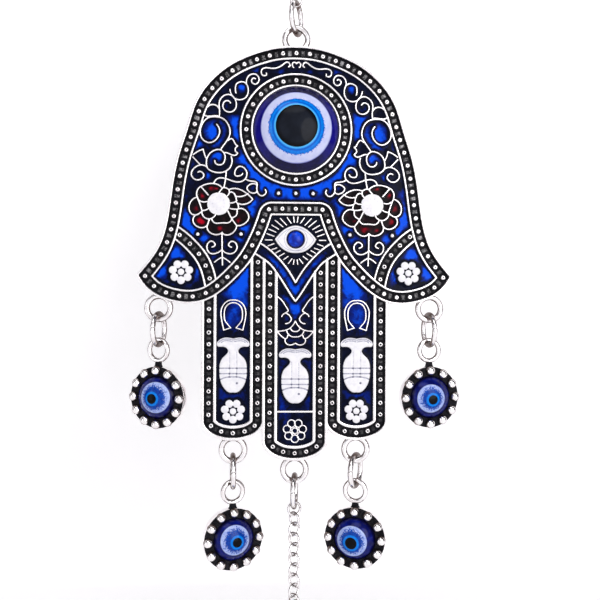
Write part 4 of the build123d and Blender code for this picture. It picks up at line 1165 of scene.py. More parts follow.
scroll_lines = add_wires(scroll_shares, in_palm_field, 0.835)
petal_lines = add_wires(petal_edge_shares + petal_line_shares, round_flower_centre, 0.85)
chevron_lines = []
for line in (upper_chevron, lower_chevron):
    whole = np.vstack([line * (-1, 1), line[::-1][1:]])
    chevron_lines.append(trimmed(whole, whole[:, 1] < under_palm(whole[:, 0]) + 0.25))
    add_ridge(wires, chevron_lines[-1], CHEVRON_WIDTH, 0.89)
lash_lines = [resample(np.array(places(shares, side)), 12) for shares in lash_shares for side in (1, -1)]
for line in lash_lines:
    add_ridge(wires, line, LASH_WIDTH, 0.82)
wires.make("fine_silver_lines", [CAST], "hand", "fine_lines", SILVER, 60)


# Beads with a dimple, dots, and the small pads between the beads

def bead_profile(dimple):
    """A bead with a pit in its top, as (radius, height, value) rows."""
    return [
        (0.60, 0.0, 0.3), (0.60, 0.20, 1.0), (0.59, 0.40, 1.0), (0.54, 0.56, 1.0), (0.45, 0.66, 1.0),
        (0.34, 0.70, 1.0), (dimple + 0.07, 0.69, 1.0), (dimple + 0.02, 0.65, 0.6),
        (dimple - 0.03, 0.55, 0.1), (dimple / 3, 0.48, 0.0), (0.0, 0.475, 0.0),
    ]


PALM_DIMPLE, FINGER_DIMPLE = 0.13, 0.21
# A dot as (radius, height, value) rows
DOT_PROFILE = [(0.55, 0.0, 0.0), (0.55, 0.35, 0.6), (0.53, 0.52, 0.9), (0.46, 0.70, 1.0), (0.34, 0.83, 1.0),
               (0.18, 0.89, 1.0), (0.0, 0.90, 1.0)]


def bead_line(line, pitch):
    """Places at about a pitch along a line, the places midway, and the line's heading there."""
    fine = resample(line, round(length(line) / pitch) * 20 + 1)
    return fine[::20], fine[10::20], headings(fine)[10::20]


# The middle of the palm's channel, from the top down the right side to the middle of the foot
half_line = palm_row(PALM_RIM + PALM_CHANNEL / 2)
half_line = np.roll(half_line, -np.argmax(half_line[:, 1]), axis=0)
if half_line[10, 0] < 0:
    half_line = np.vstack([half_line[:1], half_line[1:][::-1]])
stop = np.argmax((half_line[:, 0] < 0) & (np.arange(len(half_line)) > 20))
half_line = half_line[:stop]
half_line[0, 0] = 0.0
half_line = np.vstack([half_line, [(0.0, half_line[-1, 1])]])
half_line = half_line[np.concatenate([[True], np.linalg.norm(np.diff(half_line, axis=0), axis=1) > 1e-6])]

bead_spots, pads = [], []
beads, middles, ways = bead_line(half_line, PALM_PITCH)
for side in (1, -1):
    bead_spots += [(side * x, z, PALM_DIMPLE) for x, z in beads if side > 0 or x > 0.3]
    pads += [((side * x, z), (side * u, w), 1.0, 0.95 if z > hand_top - 46 else 0.6)
             for (x, z), (u, w) in zip(middles, ways)]
corner_fine = resample(corner_line, 101)
corner_ways = headings(corner_fine)
for side in (1, -1):
    for number in range(5):
        x, z = corner_fine[10 + 20 * number] * (side, 1)
        bead_spots.append((x, z, FINGER_DIMPLE))
        if number:
            spot, way = corner_fine[20 * number] * (side, 1), corner_ways[20 * number] * (side, 1)
            pads.append((spot, way, 0.9, 0.5))
for name, (x, width, tip) in fingers.items():
    depth = FINGER_RIM + FINGER_CHANNEL / 2
    row = finger_row(name, depth)
    right_half = row[row[:, 0] >= x - 1e-6]
    root = height(finger_root_share) - depth
    start = tip + TIP_ROUND
    arc = right_half[right_half[:, 1] <= start]
    right_half = np.vstack([[(x, root), (x + width / 2 - depth, root)], arc[::-1]])
    beads, middles, ways = bead_line(right_half, FINGER_PITCH)
    for side in (1, -1):
        for px, pz in beads:
            if pz < foot_height(x + side * (px - x)) - 0.95 and (side > 0 or px > x + 0.3):
                bead_spots.append((x + side * (px - x), pz, FINGER_DIMPLE))
        for (px, pz), (u, w) in zip(middles, ways):
            if pz < foot_height(x + side * (px - x)) - 0.8:
                pads.append(((x + side * (px - x), pz), (side * u, w), 0.85, 0.22))
eye_beads = circle(palm_center, (EYE_FENCE + eye_seat) / 2, 2 * EYE_BEADS)
bead_spots += [(x, z, PALM_DIMPLE) for x, z in eye_beads[::2]]
pads += [((x, z), (-math.sin(turn), math.cos(turn)), 0.75, 0.7)
         for (x, z), turn in zip(eye_beads[1::2], round_turns(2 * EYE_BEADS)[1::2])]

BEAD_SEGMENTS, DOT_SEGMENTS = 20, 24
bead_rows = Shape()
chance = np.random.default_rng(7)


def add_bead(spot, profile, scale, segments):
    points, faces = hand_lathe(spot, [(r * scale, h) for r, h, _ in profile], segments)
    bead_rows.add(points, faces, np.repeat([value for _, _, value in profile], segments), 0, FRONT)


for x, z, dimple in bead_spots:
    scale = chance.uniform(0.96, 1.0)
    add_bead((x, z), bead_profile(dimple * chance.uniform(0.8, 1.15)), scale, BEAD_SEGMENTS)
dots = [place(middle_dot_share)] + [place(share, side) for share in dot_shares for side in (1, -1)]
for spot in dots:
    add_bead(spot, DOT_PROFILE, 1, DOT_SEGMENTS)
for (x, z), (u, w), size, rubbed_and_shaded in pads:
    along, across = 0.42 * size * chance.uniform(0.85, 1.1), 0.62 * size
    tilt = chance.uniform(-0.05, 0.05)
    rows = []
    for share, h in ((1.0, 0.0), (1.0, 0.16), (0.86, 0.24), (0.3, 0.25)):
        box = np.array([(-along, -across), (along, -across), (along, across), (-along, across)]) * share
        flat = np.stack([x + box[:, 0] * u - box[:, 1] * w, z + box[:, 0] * w + box[:, 1] * u], 1)
        rows.append(on_hand(flat, h + tilt * box[:, 0] * (h > 0.1)))
    faces = strip_faces(4, 4) + [[12, 13, 14, 15]]
    bead_rows.add(np.vstack(rows), faces, rubbed_and_shaded * chance.uniform(0.5, 1.0), 1, FRONT)
bead_rows.make("bead_rows", [CAST, PAD], "hand", "beads", SILVER, 45)


# Enamels

def scaled(shares, size, centre, side=1):
    """Places from shares of a size, across and down from a centre."""
    return [(centre[0] + side * share[0] * size, centre[1] - share[1] * size) for share in shares]


def fish_outline(top):
    """The right half of a fish's tail, and the whole outline."""
    tail = spline(scaled(fish_tail_shares, FISH_LENGTH, top), 0.1)
    flank = spline(scaled(fish_body_shares, FISH_LENGTH, top), 0.1)
    right_side = np.vstack([tail, flank[1:]])
    left_side = right_side * (-1, 1) + (2 * top[0], 0)
    return tail, np.vstack([right_side, left_side[::-1][1:-1]])


fish_tops = {
    "left": (-finger_x, height(outer_fish_share)),
    "middle": (0.0, height(middle_fish_share)),
    "right": (finger_x, height(outer_fish_share)),
}
daisy_spots = [place(corner_daisy_share, side) for side in (-1, 1)]
daisy_spots += [(side * finger_x, height(outer_daisy_share)) for side in (-1, 1)]
# Lines and outlines that the enamel climbs a little at, and beside which it is darkened as painted shade
edges = Nearest()


def add_edges(line, half_width, closed=False):
    edges.add(looped(line) if closed else line, half_width)


add_edges(palm_middle_wall, PALM_WALL / 2, True)
add_edges(circle(palm_center, EYE_FENCE - FENCE_WALL, 300), FENCE_WALL / 2, True)
for line in scroll_lines + petal_lines:
    add_edges(line, 0.19)
for line in lash_lines + palmette_lines:
    add_edges(line, 0.17)
for line in chevron_lines:
    add_edges(line, 0.25)
for side, sign in BOTH_BANDS:
    add_edges(band_row(side, sign, PALM_WALL / 2), PALM_WALL / 2)
for side in (1, -1):
    add_edges(circle((side * flower[0], flower[1]), FLOWER_CENTRE, 80), 0.0, True)
for spot in dots:
    add_edges(circle(spot, 1.1, 24), 0.0, True)
for top in fish_tops.values():
    add_edges(fish_outline(top)[1], 0.0, True)
for spot in daisy_spots:
    for petal in petal_centres(spot, DAISY_CIRCLE):
        add_edges(circle(petal, DAISY_PETAL, 48), 0.0, True)
for name in fingers:
    add_edges(finger_row(name, finger_border - FINGER_WALL / 2), FINGER_WALL / 2)
across = np.linspace(-23, 23, 300)
add_edges(np.stack([across, under_palm(across)], 1), 0.0)


def sector(offset):
    """A loop round everything on one side of a corner band's line."""
    line = lengthened(corner_line + corner_out * offset, 4.0)
    return np.vstack([line, [(line[-1, 0], -200.0), (70.0, -200.0), (70.0, line[0, 1])]])


outward = 1 if corner_out[len(corner_out) // 2] @ np.array([1.0, -1.0]) > 0 else -1
far_sector = sector(outward * (band_half - PALM_WALL / 2))
near_sector = sector(-outward * (band_half - PALM_WALL / 2))
petal_loops = [petal_edge, petal_edge * (-1, 1)]


def cut_relief(outer, holes, pitch, only=None):
    """Flat places and faces over the inside of a loop, outside holes and inside another loop."""
    low, high = outer.min(0) - pitch, outer.max(0) + pitch
    loops = [outer, *holes]
    if only is not None:
        low, high = np.maximum(low, only.min(0)), np.minimum(high, only.max(0))
        loops.append(only)

    def keeps(grid):
        within = inside(grid, [outer])
        for hole in holes:
            within &= ~inside(grid, [hole])
        return within if only is None else within & inside(grid, [only])

    flat, kept, faces = sheet_cells(low, high, pitch, keeps)
    tree = rim_tree(loops, pitch / 4)
    for i in np.nonzero(~kept)[0]:
        spot, _, gap = tree.find((*flat[i], 0.0))
        if gap < 1.5 * pitch:
            flat[i] = spot[:2]
    return flat, faces


def painted_light_at(flat, spots):
    """How much painted light each place of the enamel gets, from spots (x, down, radius, strength)."""
    dark = np.ones(len(flat))
    for x, down, radius, strength in spots:
        gap = np.hypot(flat[:, 0] - x, flat[:, 1] - (hand_top - down)) / radius
        dark *= 1 - strength * np.exp(-(gap**2))
    return 1 - dark


def make_enamel(name, areas, look, node, slot_name, spots=()):
    """One piece of enamel that climbs a little at its edges, from areas as cut_relief takes them."""
    sheet = Shape()
    glow = []
    for area in areas:
        flat, faces = cut_relief(*area)
        # The distance to the nearest wall or raised piece, which lifts the enamel beside it and darkens it
        # there as painted shade
        near = edges.distances(flat)
        heights = ENAMEL - 0.06 + 0.11 * np.exp(-near / 0.22)
        sheet.add(on_hand(flat, heights), faces, near, 0, FRONT)
        glow.append(painted_light_at(flat, spots))
    sheet.make(name, [look], "hand", node, slot_name, 80, value_name="edge", glow=np.concatenate(glow))


# Pools of painted light on the enamel: across, down from the top of the hand, a radius, and how strongly
BLUE_PAINTED_LIGHT = [
    (-14.2, 18.4, 1.8, 1), (-13.9, 21.2, 1.6, 1), (15.2, 17.4, 1.8, 1), (15.0, 20.6, 1.9, 1),
    (-19.4, 20.4, 2.2, 1), (-19.0, 22.8, 1.7, 0.9), (19.4, 20.6, 2.3, 1), (19.6, 22.8, 1.7, 0.9),
    (-12.8, 10.0, 1.2, 1), (13.3, 9.9, 1.3, 0.9), (-22.8, 16.2, 1.3, 0.8), (-23.6, 19.5, 1.0, 0.7),
    (23.2, 15.5, 1.2, 0.7), (24.0, 19.0, 1.4, 0.9), (24.4, 22.0, 1.2, 0.8), (-11.8, 26.8, 2.1, 1),
    (-10.6, 29.4, 2.1, 1), (-9.4, 32.0, 2.0, 1), (12.8, 26.6, 2.2, 1), (11.6, 29.2, 2.0, 1),
    (10.2, 31.8, 1.8, 0.9), (-7.2, 33.4, 2.0, 1), (-4.4, 34.4, 2.0, 1), (-1.4, 34.8, 2.0, 1),
    (1.8, 34.8, 2.0, 1), (4.8, 34.2, 2.0, 1), (7.6, 33.2, 1.9, 0.9), (-18.6, 26.4, 1.6, 1),
    (18.2, 26.6, 1.6, 1), (-23.6, 23.4, 1.5, 0.9), (24.2, 23.6, 1.3, 0.7), (-21.0, 31.0, 1.0, 0.8),
    (21.2, 31.2, 0.9, 0.7), (-24.4, 29.5, 1.1, 0.6), (24.8, 30.0, 1.2, 0.6), (-26.0, 42.0, 2.4, 1),
    (-25.4, 39.2, 1.4, 0.8), (-24.2, 44.2, 1.5, 1), (25.6, 41.0, 2.4, 1), (25.4, 38.0, 1.6, 0.9),
    (24.4, 44.0, 1.5, 0.9), (-10.7, 37.4, 1.7, 1), (-10.9, 39.8, 1.3, 0.8), (10.9, 37.2, 1.7, 1),
    (11.0, 39.6, 1.3, 0.8), (-12.2, 43.6, 1.5, 1), (12.4, 43.6, 1.6, 1), (-21.6, 46.0, 1.4, 0.9),
    (21.8, 46.0, 1.3, 0.9), (-13.2, 46.0, 1.2, 0.6), (13.4, 46.0, 1.2, 0.6), (-9.4, 6.2, 1.4, 0.55),
    (9.6, 6.4, 1.4, 0.55), (-3.2, 7.0, 1.3, 0.6), (3.4, 7.0, 1.3, 0.6), (-26.8, 36.2, 1.2, 0.6),
    (26.2, 35.0, 1.4, 0.7), (-17.0, 14.6, 1.2, 0.4), (17.4, 14.6, 1.2, 0.4), (-20.0, 50.0, 2.0, 0.35),
    (20.0, 50.0, 2.0, 0.35), (-16.4, 48.0, 2.2, 0.4), (16.4, 48.0, 2.2, 0.4), (-6.8, 37.2, 1.0, 0.6),
    (6.8, 37.2, 1.0, 0.6),
]
CORNER_PAINTED_LIGHT = [
    (-28.6, 49.4, 1.7, 1), (-27.4, 50.8, 1.2, 0.7), (-31.6, 53.8, 1.5, 1), (-32.8, 54.8, 1.2, 0.7),
    (-22.8, 53.6, 1.5, 0.8), (-24.2, 55.6, 1.2, 0.6), (28.2, 49.4, 1.7, 1), (27.0, 50.6, 1.2, 0.6),
    (31.4, 53.6, 1.5, 1), (32.6, 54.8, 1.2, 0.7), (22.8, 53.8, 1.5, 0.8), (24.2, 55.6, 1.2, 0.6),
    (-29.0, 58.0, 2.5, 0.4), (29.0, 58.0, 2.5, 0.4),
]
CHEVRON_PAINTED_LIGHT = [
    (-5.4, 51.8, 2.6, 0.6), (5.4, 51.8, 2.6, 0.6), (-3.0, 54.4, 2.2, 0.6), (3.0, 54.4, 2.2, 0.6),
    (0.0, 57.6, 2.4, 0.75),
]
FINGER_PAINTED_LIGHT = [
    (-12.2, 55.8, 2.2, 1), (-13.2, 57.6, 2.0, 0.95), (-15.0, 59.0, 2.0, 0.7), (-11.6, 61.0, 2.0, 0.5),
    (-14.9, 63.4, 2.0, 0.5), (-14.9, 66.0, 2.6, 0.4), (-11.4, 53.6, 1.4, 1), (12.2, 55.6, 2.2, 1),
    (13.2, 57.4, 2.0, 0.95), (15.0, 59.0, 2.0, 0.7), (11.6, 61.0, 2.0, 0.5), (15.0, 63.4, 2.0, 0.5),
    (15.0, 66.0, 2.6, 0.4), (11.2, 53.6, 1.4, 1), (-14.8, 82.8, 3.4, 0.4), (14.8, 82.8, 3.4, 0.45),
    (0.0, 62.6, 1.8, 0.8), (0.0, 65.4, 1.6, 0.5), (-2.8, 60.4, 1.4, 0.6), (2.8, 60.4, 1.4, 0.6),
    (-3.4, 84.6, 2.2, 0.4), (3.4, 84.6, 2.2, 0.4), (0.0, 72.4, 3.4, 0.2), (-3.6, 88.4, 2.0, 0.35),
    (3.0, 95.0, 2.4, 0.2), (-4.2, 76.0, 2.0, 0.4), (4.2, 76.0, 2.0, 0.4), (-18.6, 76.0, 1.8, 0.35),
    (18.6, 76.0, 1.8, 0.35),
]
RED_PAINTED_LIGHT = [
    (-18.6, 34.2, 0.94, 0.80), (-20.2, 34.0, 0.77, 0.56), (-22.2, 36.0, 0.85, 0.64),
    (-23.2, 38.8, 0.85, 0.48), (-22.5, 42.0, 1.19, 0.80), (-18.0, 43.6, 0.77, 0.64),
    (-13.2, 38.6, 0.77, 0.56), (-13.8, 42.0, 0.94, 0.72), (-16.0, 34.6, 0.68, 0.48),
    (-20.4, 44.2, 0.77, 0.56), (17.2, 34.2, 1.10, 0.80), (19.4, 33.8, 0.77, 0.64),
    (22.3, 35.0, 1.02, 0.72), (23.6, 38.6, 0.85, 0.56), (23.0, 41.6, 0.94, 0.72),
    (16.4, 43.6, 0.94, 0.72), (12.5, 38.8, 0.77, 0.64), (14.3, 42.0, 0.77, 0.64),
    (13.6, 36.2, 0.68, 0.56), (19.6, 43.8, 0.77, 0.56),
]


def between(reach, count, top, low):
    """A loop round the places that are over one height and under another, within a reach of the middle."""
    x = np.linspace(-reach, reach, count)
    upper, lower = top(x), low(x)
    fits = upper > lower
    return np.vstack([np.stack([x, upper], 1)[fits], np.stack([x, lower], 1)[fits][::-1]])


def over_chevron(x):
    return chevron_height(upper_chevron, x)


panel_loop = between(9.0, 240, lambda x: under_palm(x) + 0.2, over_chevron)
chevron_loop = between(10.27, 260, lambda x: np.minimum(over_chevron(x), under_palm(x) + 0.2),
                       lambda x: chevron_height(lower_chevron, x))

palm_holes = [near_sector, near_sector * (-1, 1), eye_fence_loop, *petal_loops]
make_enamel("palm_cobalt_enamel", [(palm_middle_wall, palm_holes, 0.2)], BLUE, "palm_enamel", "blue_enamel",
            BLUE_PAINTED_LIGHT)
corner_areas = [(palm_middle_wall, [], 0.18, far_sector * (side, 1)) for side in (1, -1)]
make_enamel("corner_cobalt_enamel", corner_areas, BLUE, "corner_enamels", "blue_enamel", CORNER_PAINTED_LIGHT)
make_enamel("eye_panel_navy_enamel", [(panel_loop, [], 0.14)], NAVY, "eye_panel_enamel", "blue_enamel")
make_enamel("chevron_cobalt_enamel", [(chevron_loop, [], 0.14)], BLUE, "chevron_enamel", "blue_enamel",
            CHEVRON_PAINTED_LIGHT)
for name in fingers:
    row = finger_row(name, finger_border - FINGER_WALL / 2, 0.1)
    xs = np.linspace(row[-1, 0], row[0, 0], 80)[1:-1]
    loop = np.vstack([row, np.stack([xs, foot_height(xs) + 0.1], 1)])
    make_enamel(f"finger_cobalt_enamel_{name}", [(loop, [], 0.15)], BLUE, f"finger_enamel_{name}",
                "blue_enamel", FINGER_PAINTED_LIGHT)
make_enamel("petal_garnet_enamel", [(loop, [], 0.14) for loop in petal_loops], RED, "petal_enamels",
            "red_enamel", RED_PAINTED_LIGHT)


# White pieces: flower centres, daisies, fish and the panel's eye

def dome_level(diameter, edge, rise):
    """The height of a round dome on a straight edge, from the distance from its middle."""
    ball = ((diameter / 2) ** 2 + rise**2) / (2 * rise)
    return lambda r: edge + rise - ball + math.sqrt(ball**2 - r**2)


def dome_profile(diameter, edge, rise, steps, soft=0.06):
    """A round dome on a straight edge, its foot a touch rounded."""
    level = dome_level(diameter, edge, rise)
    inner = diameter / 2 - soft / 3
    rows = [(diameter / 2, 0.0), (diameter / 2, edge - soft), (inner, edge)]
    return rows + [(r, level(r)) for r in inner * (1 - np.arange(1, steps + 1) / steps)]


discs_white = Shape()
points, faces = lathe(dome_profile(FLOWER_CENTRE, 0.6, 0.5, 14), 96)
waves = (1 + np.cos(10 * np.arctan2(points[:, 1], points[:, 0]))) / 2
dimple = 0.035 * np.exp(-((np.hypot(points[:, 0], points[:, 1]) - 1.5) / 0.35) ** 2) * waves
points[:, :2] *= (1 - 0.022 * waves)[:, None]
points[:, 2] -= np.where(points[:, 2] > 0.5, dimple, 0)
# Painted shade on the foot of the dome and in its dimples
values = np.where(points[:, 2] < 0.5, 0.35, 1.0 - 8 * dimple)
for side in (-1, 1):
    placed = on_hand(points[:, :2] + (side * flower[0], flower[1]), points[:, 2])
    discs_white.add(placed, faces, values, 0, FRONT)
discs_white.make("flower_centre_domes", [WHITE], "hand", "flower_centres", "white_enamel", 50)

white_daisies = Shape()
for spot in daisy_spots:
    # Painted shade on the disc between the petals and towards the foot of each petal
    points, faces = hand_lathe(spot, [(DAISY_CIRCLE / 2, 0.02), (DAISY_CIRCLE / 2, 0.42), (0.0, 0.42)], 32)
    white_daisies.add(points, faces, 0.42, 0, FRONT)
    domes = [(petal, DAISY_PETAL, 0.5) for petal in petal_centres(spot, DAISY_CIRCLE)]
    for centre, diameter, edge in [*domes, (spot, DAISY_HEART, 0.52)]:
        points, faces = hand_lathe(centre, dome_profile(diameter, edge, 0.4, 9, 0.1), 32)
        share = np.hypot(*(points[:, [0, 2]] - np.asarray(centre)).T) / (diameter / 2)
        values = 1.0 - 0.95 * np.clip((share - 0.66) / 0.30, 0, 1) ** 1.3
        white_daisies.add(points, faces, values, 0, FRONT)
white_daisies.make("white_daisies", [WHITE], "hand", "daisies", "white_enamel", 60)


def swell(depth, width, low, high):
    """Heights that climb from low at an edge to high over a width, as a quarter round."""
    return low + (high - low) * np.sqrt(1 - (1 - np.clip(depth / width, 0, 1)) ** 2)


for name, top in fish_tops.items():
    tail, outline = fish_outline(top)
    grooves, ridges = Nearest(), Nearest()
    for lines, rows in ((grooves, fish_line_shares[:2]), (ridges, fish_line_shares[2:])):
        for shares in rows:
            lines.add(resample(np.array(scaled(shares, FISH_LENGTH, top)), 30), 0.05)
    right, left = (scaled(fish_gill_shares, FISH_LENGTH, top, side) for side in (1, -1))
    grooves.add(spline(left[:0:-1] + right, 0.1), 0.06)
    upper_edge = tail[: np.argmax(tail[:, 0]) - 6]
    for depth, reach in ((0.38, 1.0), (0.78, 0.86)):
        ridge = (upper_edge - normals(upper_edge) * depth)[: int(len(upper_edge) * reach)]
        for side in (1, -1):
            grooves.add((ridge - top) * (side, 1) + top, 0.03)
    eye_at = np.array(scaled([fish_eye_share], FISH_LENGTH, top)[0])

    def pit(flat, width):
        return np.exp(-((np.hypot(*(flat - eye_at).T) / width) ** 2))

    def fish_rise(flat, depth):
        cut = np.maximum(grooves.share(flat, 0.11), 0.6 * ridges.share(flat, 0.2))
        return swell(depth, 0.55, 0.62, FISH_HEIGHT) - 0.13 * cut - 0.15 * pit(flat, 0.24)

    # Painted shade in the grooves, the ridges and the eye's pit, and round the fish's edge
    def fish_value(flat, depth):
        worn_and_shaded = 0.62 * grooves.share(flat, 0.13) + 0.34 * ridges.share(flat, 0.16) + 1.1 * pit(flat, 0.28)
        return np.clip(1.0 - worn_and_shaded - 0.5 * np.exp(-depth / 0.12), 0, 1)

    fish = Shape()
    add_relief(fish, [outline], 0.09, fish_rise, fish_value)
    fish.make(f"white_fish_{name}", [WHITE], "hand", f"fish_{name}", "white_enamel", 60)

almond_top, almond_low = (spline(places(shares, -1)[:-1] + places(shares)[::-1], 0.1)
                          for shares in (almond_shares, almond_low_shares))
almond_loop = np.vstack([almond_top, almond_low[::-1][1:-1]])
stone = place(stone_share)


def almond_groove(depth):
    """The fine groove that runs round inside the almond's edge."""
    return np.exp(-(((depth - 0.5) / 0.09) ** 2))


white_eye = Shape()
# Painted shade in the fine groove inside the almond's edge
add_relief(white_eye, [almond_loop, circle(stone, STONE + 0.1, 120)], 0.09,
           lambda flat, depth: swell(depth, 0.3, 0.7, ALMOND_HEIGHT) - 0.08 * almond_groove(depth),
           lambda flat, depth: 1.0 - 0.62 * almond_groove(depth))
white_eye.make("panel_eye_white", [WHITE], "hand", "eye_white", "white_enamel", 60)
stone_dome = Shape()
stone_dome.add(*hand_lathe(stone, dome_profile(STONE, STONE_EDGE, STONE_RISE, 16), 64), toward=FRONT)
stone_dome.make("panel_eye_stone", [stone_glass()], "hand", "eye_stone", "blue_stone", 50,
                (stone[0], 0.0, stone[1]))


# The palm's glass eye, cut into its rings

def cap_rows(diameter, edge, rise, outer, inner, steps):
    """Rows of a dome's surface between two radii, with a short wall down inside each cut."""
    level = dome_level(diameter, edge, rise)
    foot = 0.0 if outer == diameter / 2 else level(outer) - 0.8
    rows = [(outer, foot), (outer, level(outer) - 0.02)]
    rows += [(r, level(r)) for r in np.linspace(outer - 0.02, inner + (0.01 if inner else 0), steps)]
    return rows + ([(inner, level(inner) - 0.02), (inner, level(inner) - 0.8)] if inner else [])


for name, node, look, outer, inner, slot_name in (
    ("palm_eye_outer_glass", "palm_eye_glass", palm_glass(), PALM_EYE, EYE_WHITE, "blue_glass"),
    ("palm_eye_white_ring", "palm_eye_white", palm_white(), EYE_WHITE, EYE_IRIS, "pale_inlay"),
    ("palm_eye_azure_ring", "palm_eye_iris", palm_iris(), EYE_IRIS, EYE_PUPIL, "light_blue_inlay"),
    ("palm_eye_black_pupil", "palm_eye_pupil", pupil_glass(), EYE_PUPIL, 0.0, "black_inlay"),
):
    eye_part = Shape()
    profile = cap_rows(PALM_EYE, PALM_EYE_EDGE, PALM_EYE_RISE, outer / 2, inner / 2, 20)
    eye_part.add(*hand_lathe(palm_center, profile, 144), toward=FRONT)
    eye_part.make(name, [look], "hand", node, slot_name, 50, (palm_center[0], 0.0, palm_center[1]))


# Rings and links

def hang_ring(name, size, x, z, turn, gap_at, seed):
    """A jump ring or link on its own body, turned about the vertical, with its cut at an angle."""
    ring = Shape()
    segments, around = (56, 16) if size is LINK else (96, 24)
    points, faces, outward = torus(size, segments, around, seed, math.radians(gap_at))
    hung = Hung(x, z, turn)
    ring.add(hung.points(points), faces, hung.rubbed_and_shaded(outward))
    ring.make(f"{name}_wire", [BRIGHT], name, name, SILVER, 60)


hang_ring("hanging_ring", RING, 0, 0, 0, 128, 1)
for number, turn in enumerate(TOP_LINK_TURNS):
    hang_ring(f"top_link_{number + 1}", LINK, 0, top_link_heights[number], turn, 8, number)
hang_ring("top_jump_ring", RING, 0, top_ring_height, TOP_RING_TURN, 15, 3)
charm_places = {}
for number, (name, (x, z)) in enumerate(lugs.items()):
    hang_ring(f"jump_ring_{name}", RING, x, z - drop(LUG, RING), RING_TURNS[name], 172, 10 + number)
    charm_places[name] = (x, z - drop(LUG, RING) - drop(RING, CHARM_RING))
end_link_height = lugs["bottom"][1] - drop(LUG, RING) - drop(RING, LINK)
for number, turn in enumerate(END_LINK_TURNS):
    z = end_link_height - number * drop(LINK, LINK)
    hang_ring(f"end_link_{number + 1}", LINK, 0, z, turn, 5, 20 + number)
end_ring_height = end_link_height - (len(END_LINK_TURNS) - 1) * drop(LINK, LINK) - drop(LINK, RING)
hang_ring("jump_ring_end", RING, 0, end_ring_height, END_RING_TURN, 12, 40)
del charm_places["bottom"]
charm_places["end"] = (0.0, end_ring_height - drop(RING, CHARM_RING))


# Eye charms

bezel_drop = CHARM_RING[0] / 2 + NECK_LENGTH + BEZEL / 2
bezel_front = BEZEL_THICK - BEZEL_BEHIND
seat_level = bezel_front - SEAT_DEPTH
# From the middle of the back round to the seat, as (radius, height, material) rows
BEZEL_PROFILE = [
    (0.0, -1.3, 2), (6.9, -1.3, 2), (7.18, -1.24, 0), (7.32, -1.05, 0), (7.35, -0.8, 0), (7.35, 0.5, 0),
    (7.31, 0.72, 0), (7.18, 0.86, 1), (7.0, 0.9, 1), (6.82, 0.87, 1), (6.6, 0.78, 1), (5.9, 0.76, 1),
    (5.3, 0.80, 1), (5.12, 0.86, 1), (5.05, 0.80, 1), (5.05, 0.4, 1), (0.0, 0.4, 1),
]
BEZEL_SEGMENTS, NECK_SEGMENTS = 96, 24
# The neck under the charm's ring, as (height, half width, half thickness) rows
NECK = [(-2.55, 0.55, 0.5), (-2.9, 0.75, 0.54), (-3.25, 0.82, 0.57), (-3.6, 0.9, 0.57), (-3.95, 1.15, 0.57),
        (-4.3, 1.5, 0.57)]
# Where each charm's pale ring and pupil lie off its middle, and their radii
CHARM_PATTERNS = {
    "left": ((0.70, 0.2), 3.62, (0.35, 0.0), 1.18),
    "right": ((-0.55, -0.1), 3.35, (-0.4, -0.3), 1.12),
    "finger_left": ((-0.25, 0.35), 3.5, (0.0, 0.05), 1.14),
    "finger_right": ((-0.35, -0.2), 3.62, (-0.45, -0.45), 1.42),
    "end": ((0.15, 0.1), 3.5, (0.0, -0.1), 1.2),
}
ball_turns = np.linspace(0, math.pi, 17)
ball_profile = list(zip(BALL / 2 * np.sin(ball_turns), -BALL / 2 * np.cos(ball_turns)))
ball_points, ball_faces = lathe(ball_profile, 32)
ball_outward = ball_points / np.linalg.norm(ball_points, axis=1)[:, None]
for name, (x, z) in charm_places.items():
    hung = Hung(x, z, CHARM_TURNS[name])
    body = f"charm_{name}"
    bezel = Shape()
    points, faces = lathe([(r, w) for r, w, _ in BEZEL_PROFILE], BEZEL_SEGMENTS)
    slots = np.repeat([material for _, _, material in BEZEL_PROFILE[1:]], BEZEL_SEGMENTS)
    bezel.add(hung.points(points - (0, bezel_drop, 0)), faces, 1.0, slots)
    for u, v in circle((0.0, -bezel_drop), BALL_CIRCLE, BALLS):
        bezel.add(hung.points(ball_points + (u, v, bezel_front)), ball_faces, hung.rubbed_and_shaded(ball_outward))
    turns = round_turns(NECK_SEGMENTS)
    c, s = np.cos(turns), np.sin(turns)
    across, through = np.sign(c) * abs(c) ** 0.7, np.sign(s) * abs(s) ** 0.7
    rows = [np.stack([half * across, np.full(NECK_SEGMENTS, v), thick * through], 1)
            for v, half, thick in NECK]
    bezel.add(hung.points(np.vstack(rows)), strip_faces(len(rows), NECK_SEGMENTS), 1.0, 1)
    points, faces, outward = torus(CHARM_RING, 80, 26, 60)
    bezel.add(hung.points(points), faces, hung.rubbed_and_shaded(outward))
    bezel.make(f"{body}_bezel_casting", [BRIGHT, RECESS, BACK_METAL], body, f"{body}_bezel", SILVER, 45)
    look = charm_eye(f"charm_eye_glass_{name}", *CHARM_PATTERNS[name])
    spot = hung.points(np.array([[0.0, -bezel_drop, seat_level]]))[0] * MM
    for part, node, outer, inner, slot_name in (
        ("glass_rim", "glass", CHARM_EYE, CHARM_WHITE, "blue_glass"),
        ("glass_eye", "eye", CHARM_WHITE, 0.0, "pale_inlay"),
    ):
        points, faces = lathe(cap_rows(CHARM_EYE, CHARM_EDGE, CHARM_RISE, outer / 2, inner / 2, 18), 96)
        turned = Shape()
        turned.add(np.stack([points[:, 0], -points[:, 2], points[:, 1]], 1), faces, toward=FRONT)
        piece = turned.make(f"{body}_{part}", [look], body, f"{body}_{node}", slot_name, 50)
        turn = Matrix.Rotation(math.radians(CHARM_TURNS[name]), 4, "Z")
        piece.matrix_world = Matrix.Translation(Vector(spot)) @ turn


# Backdrop and floor

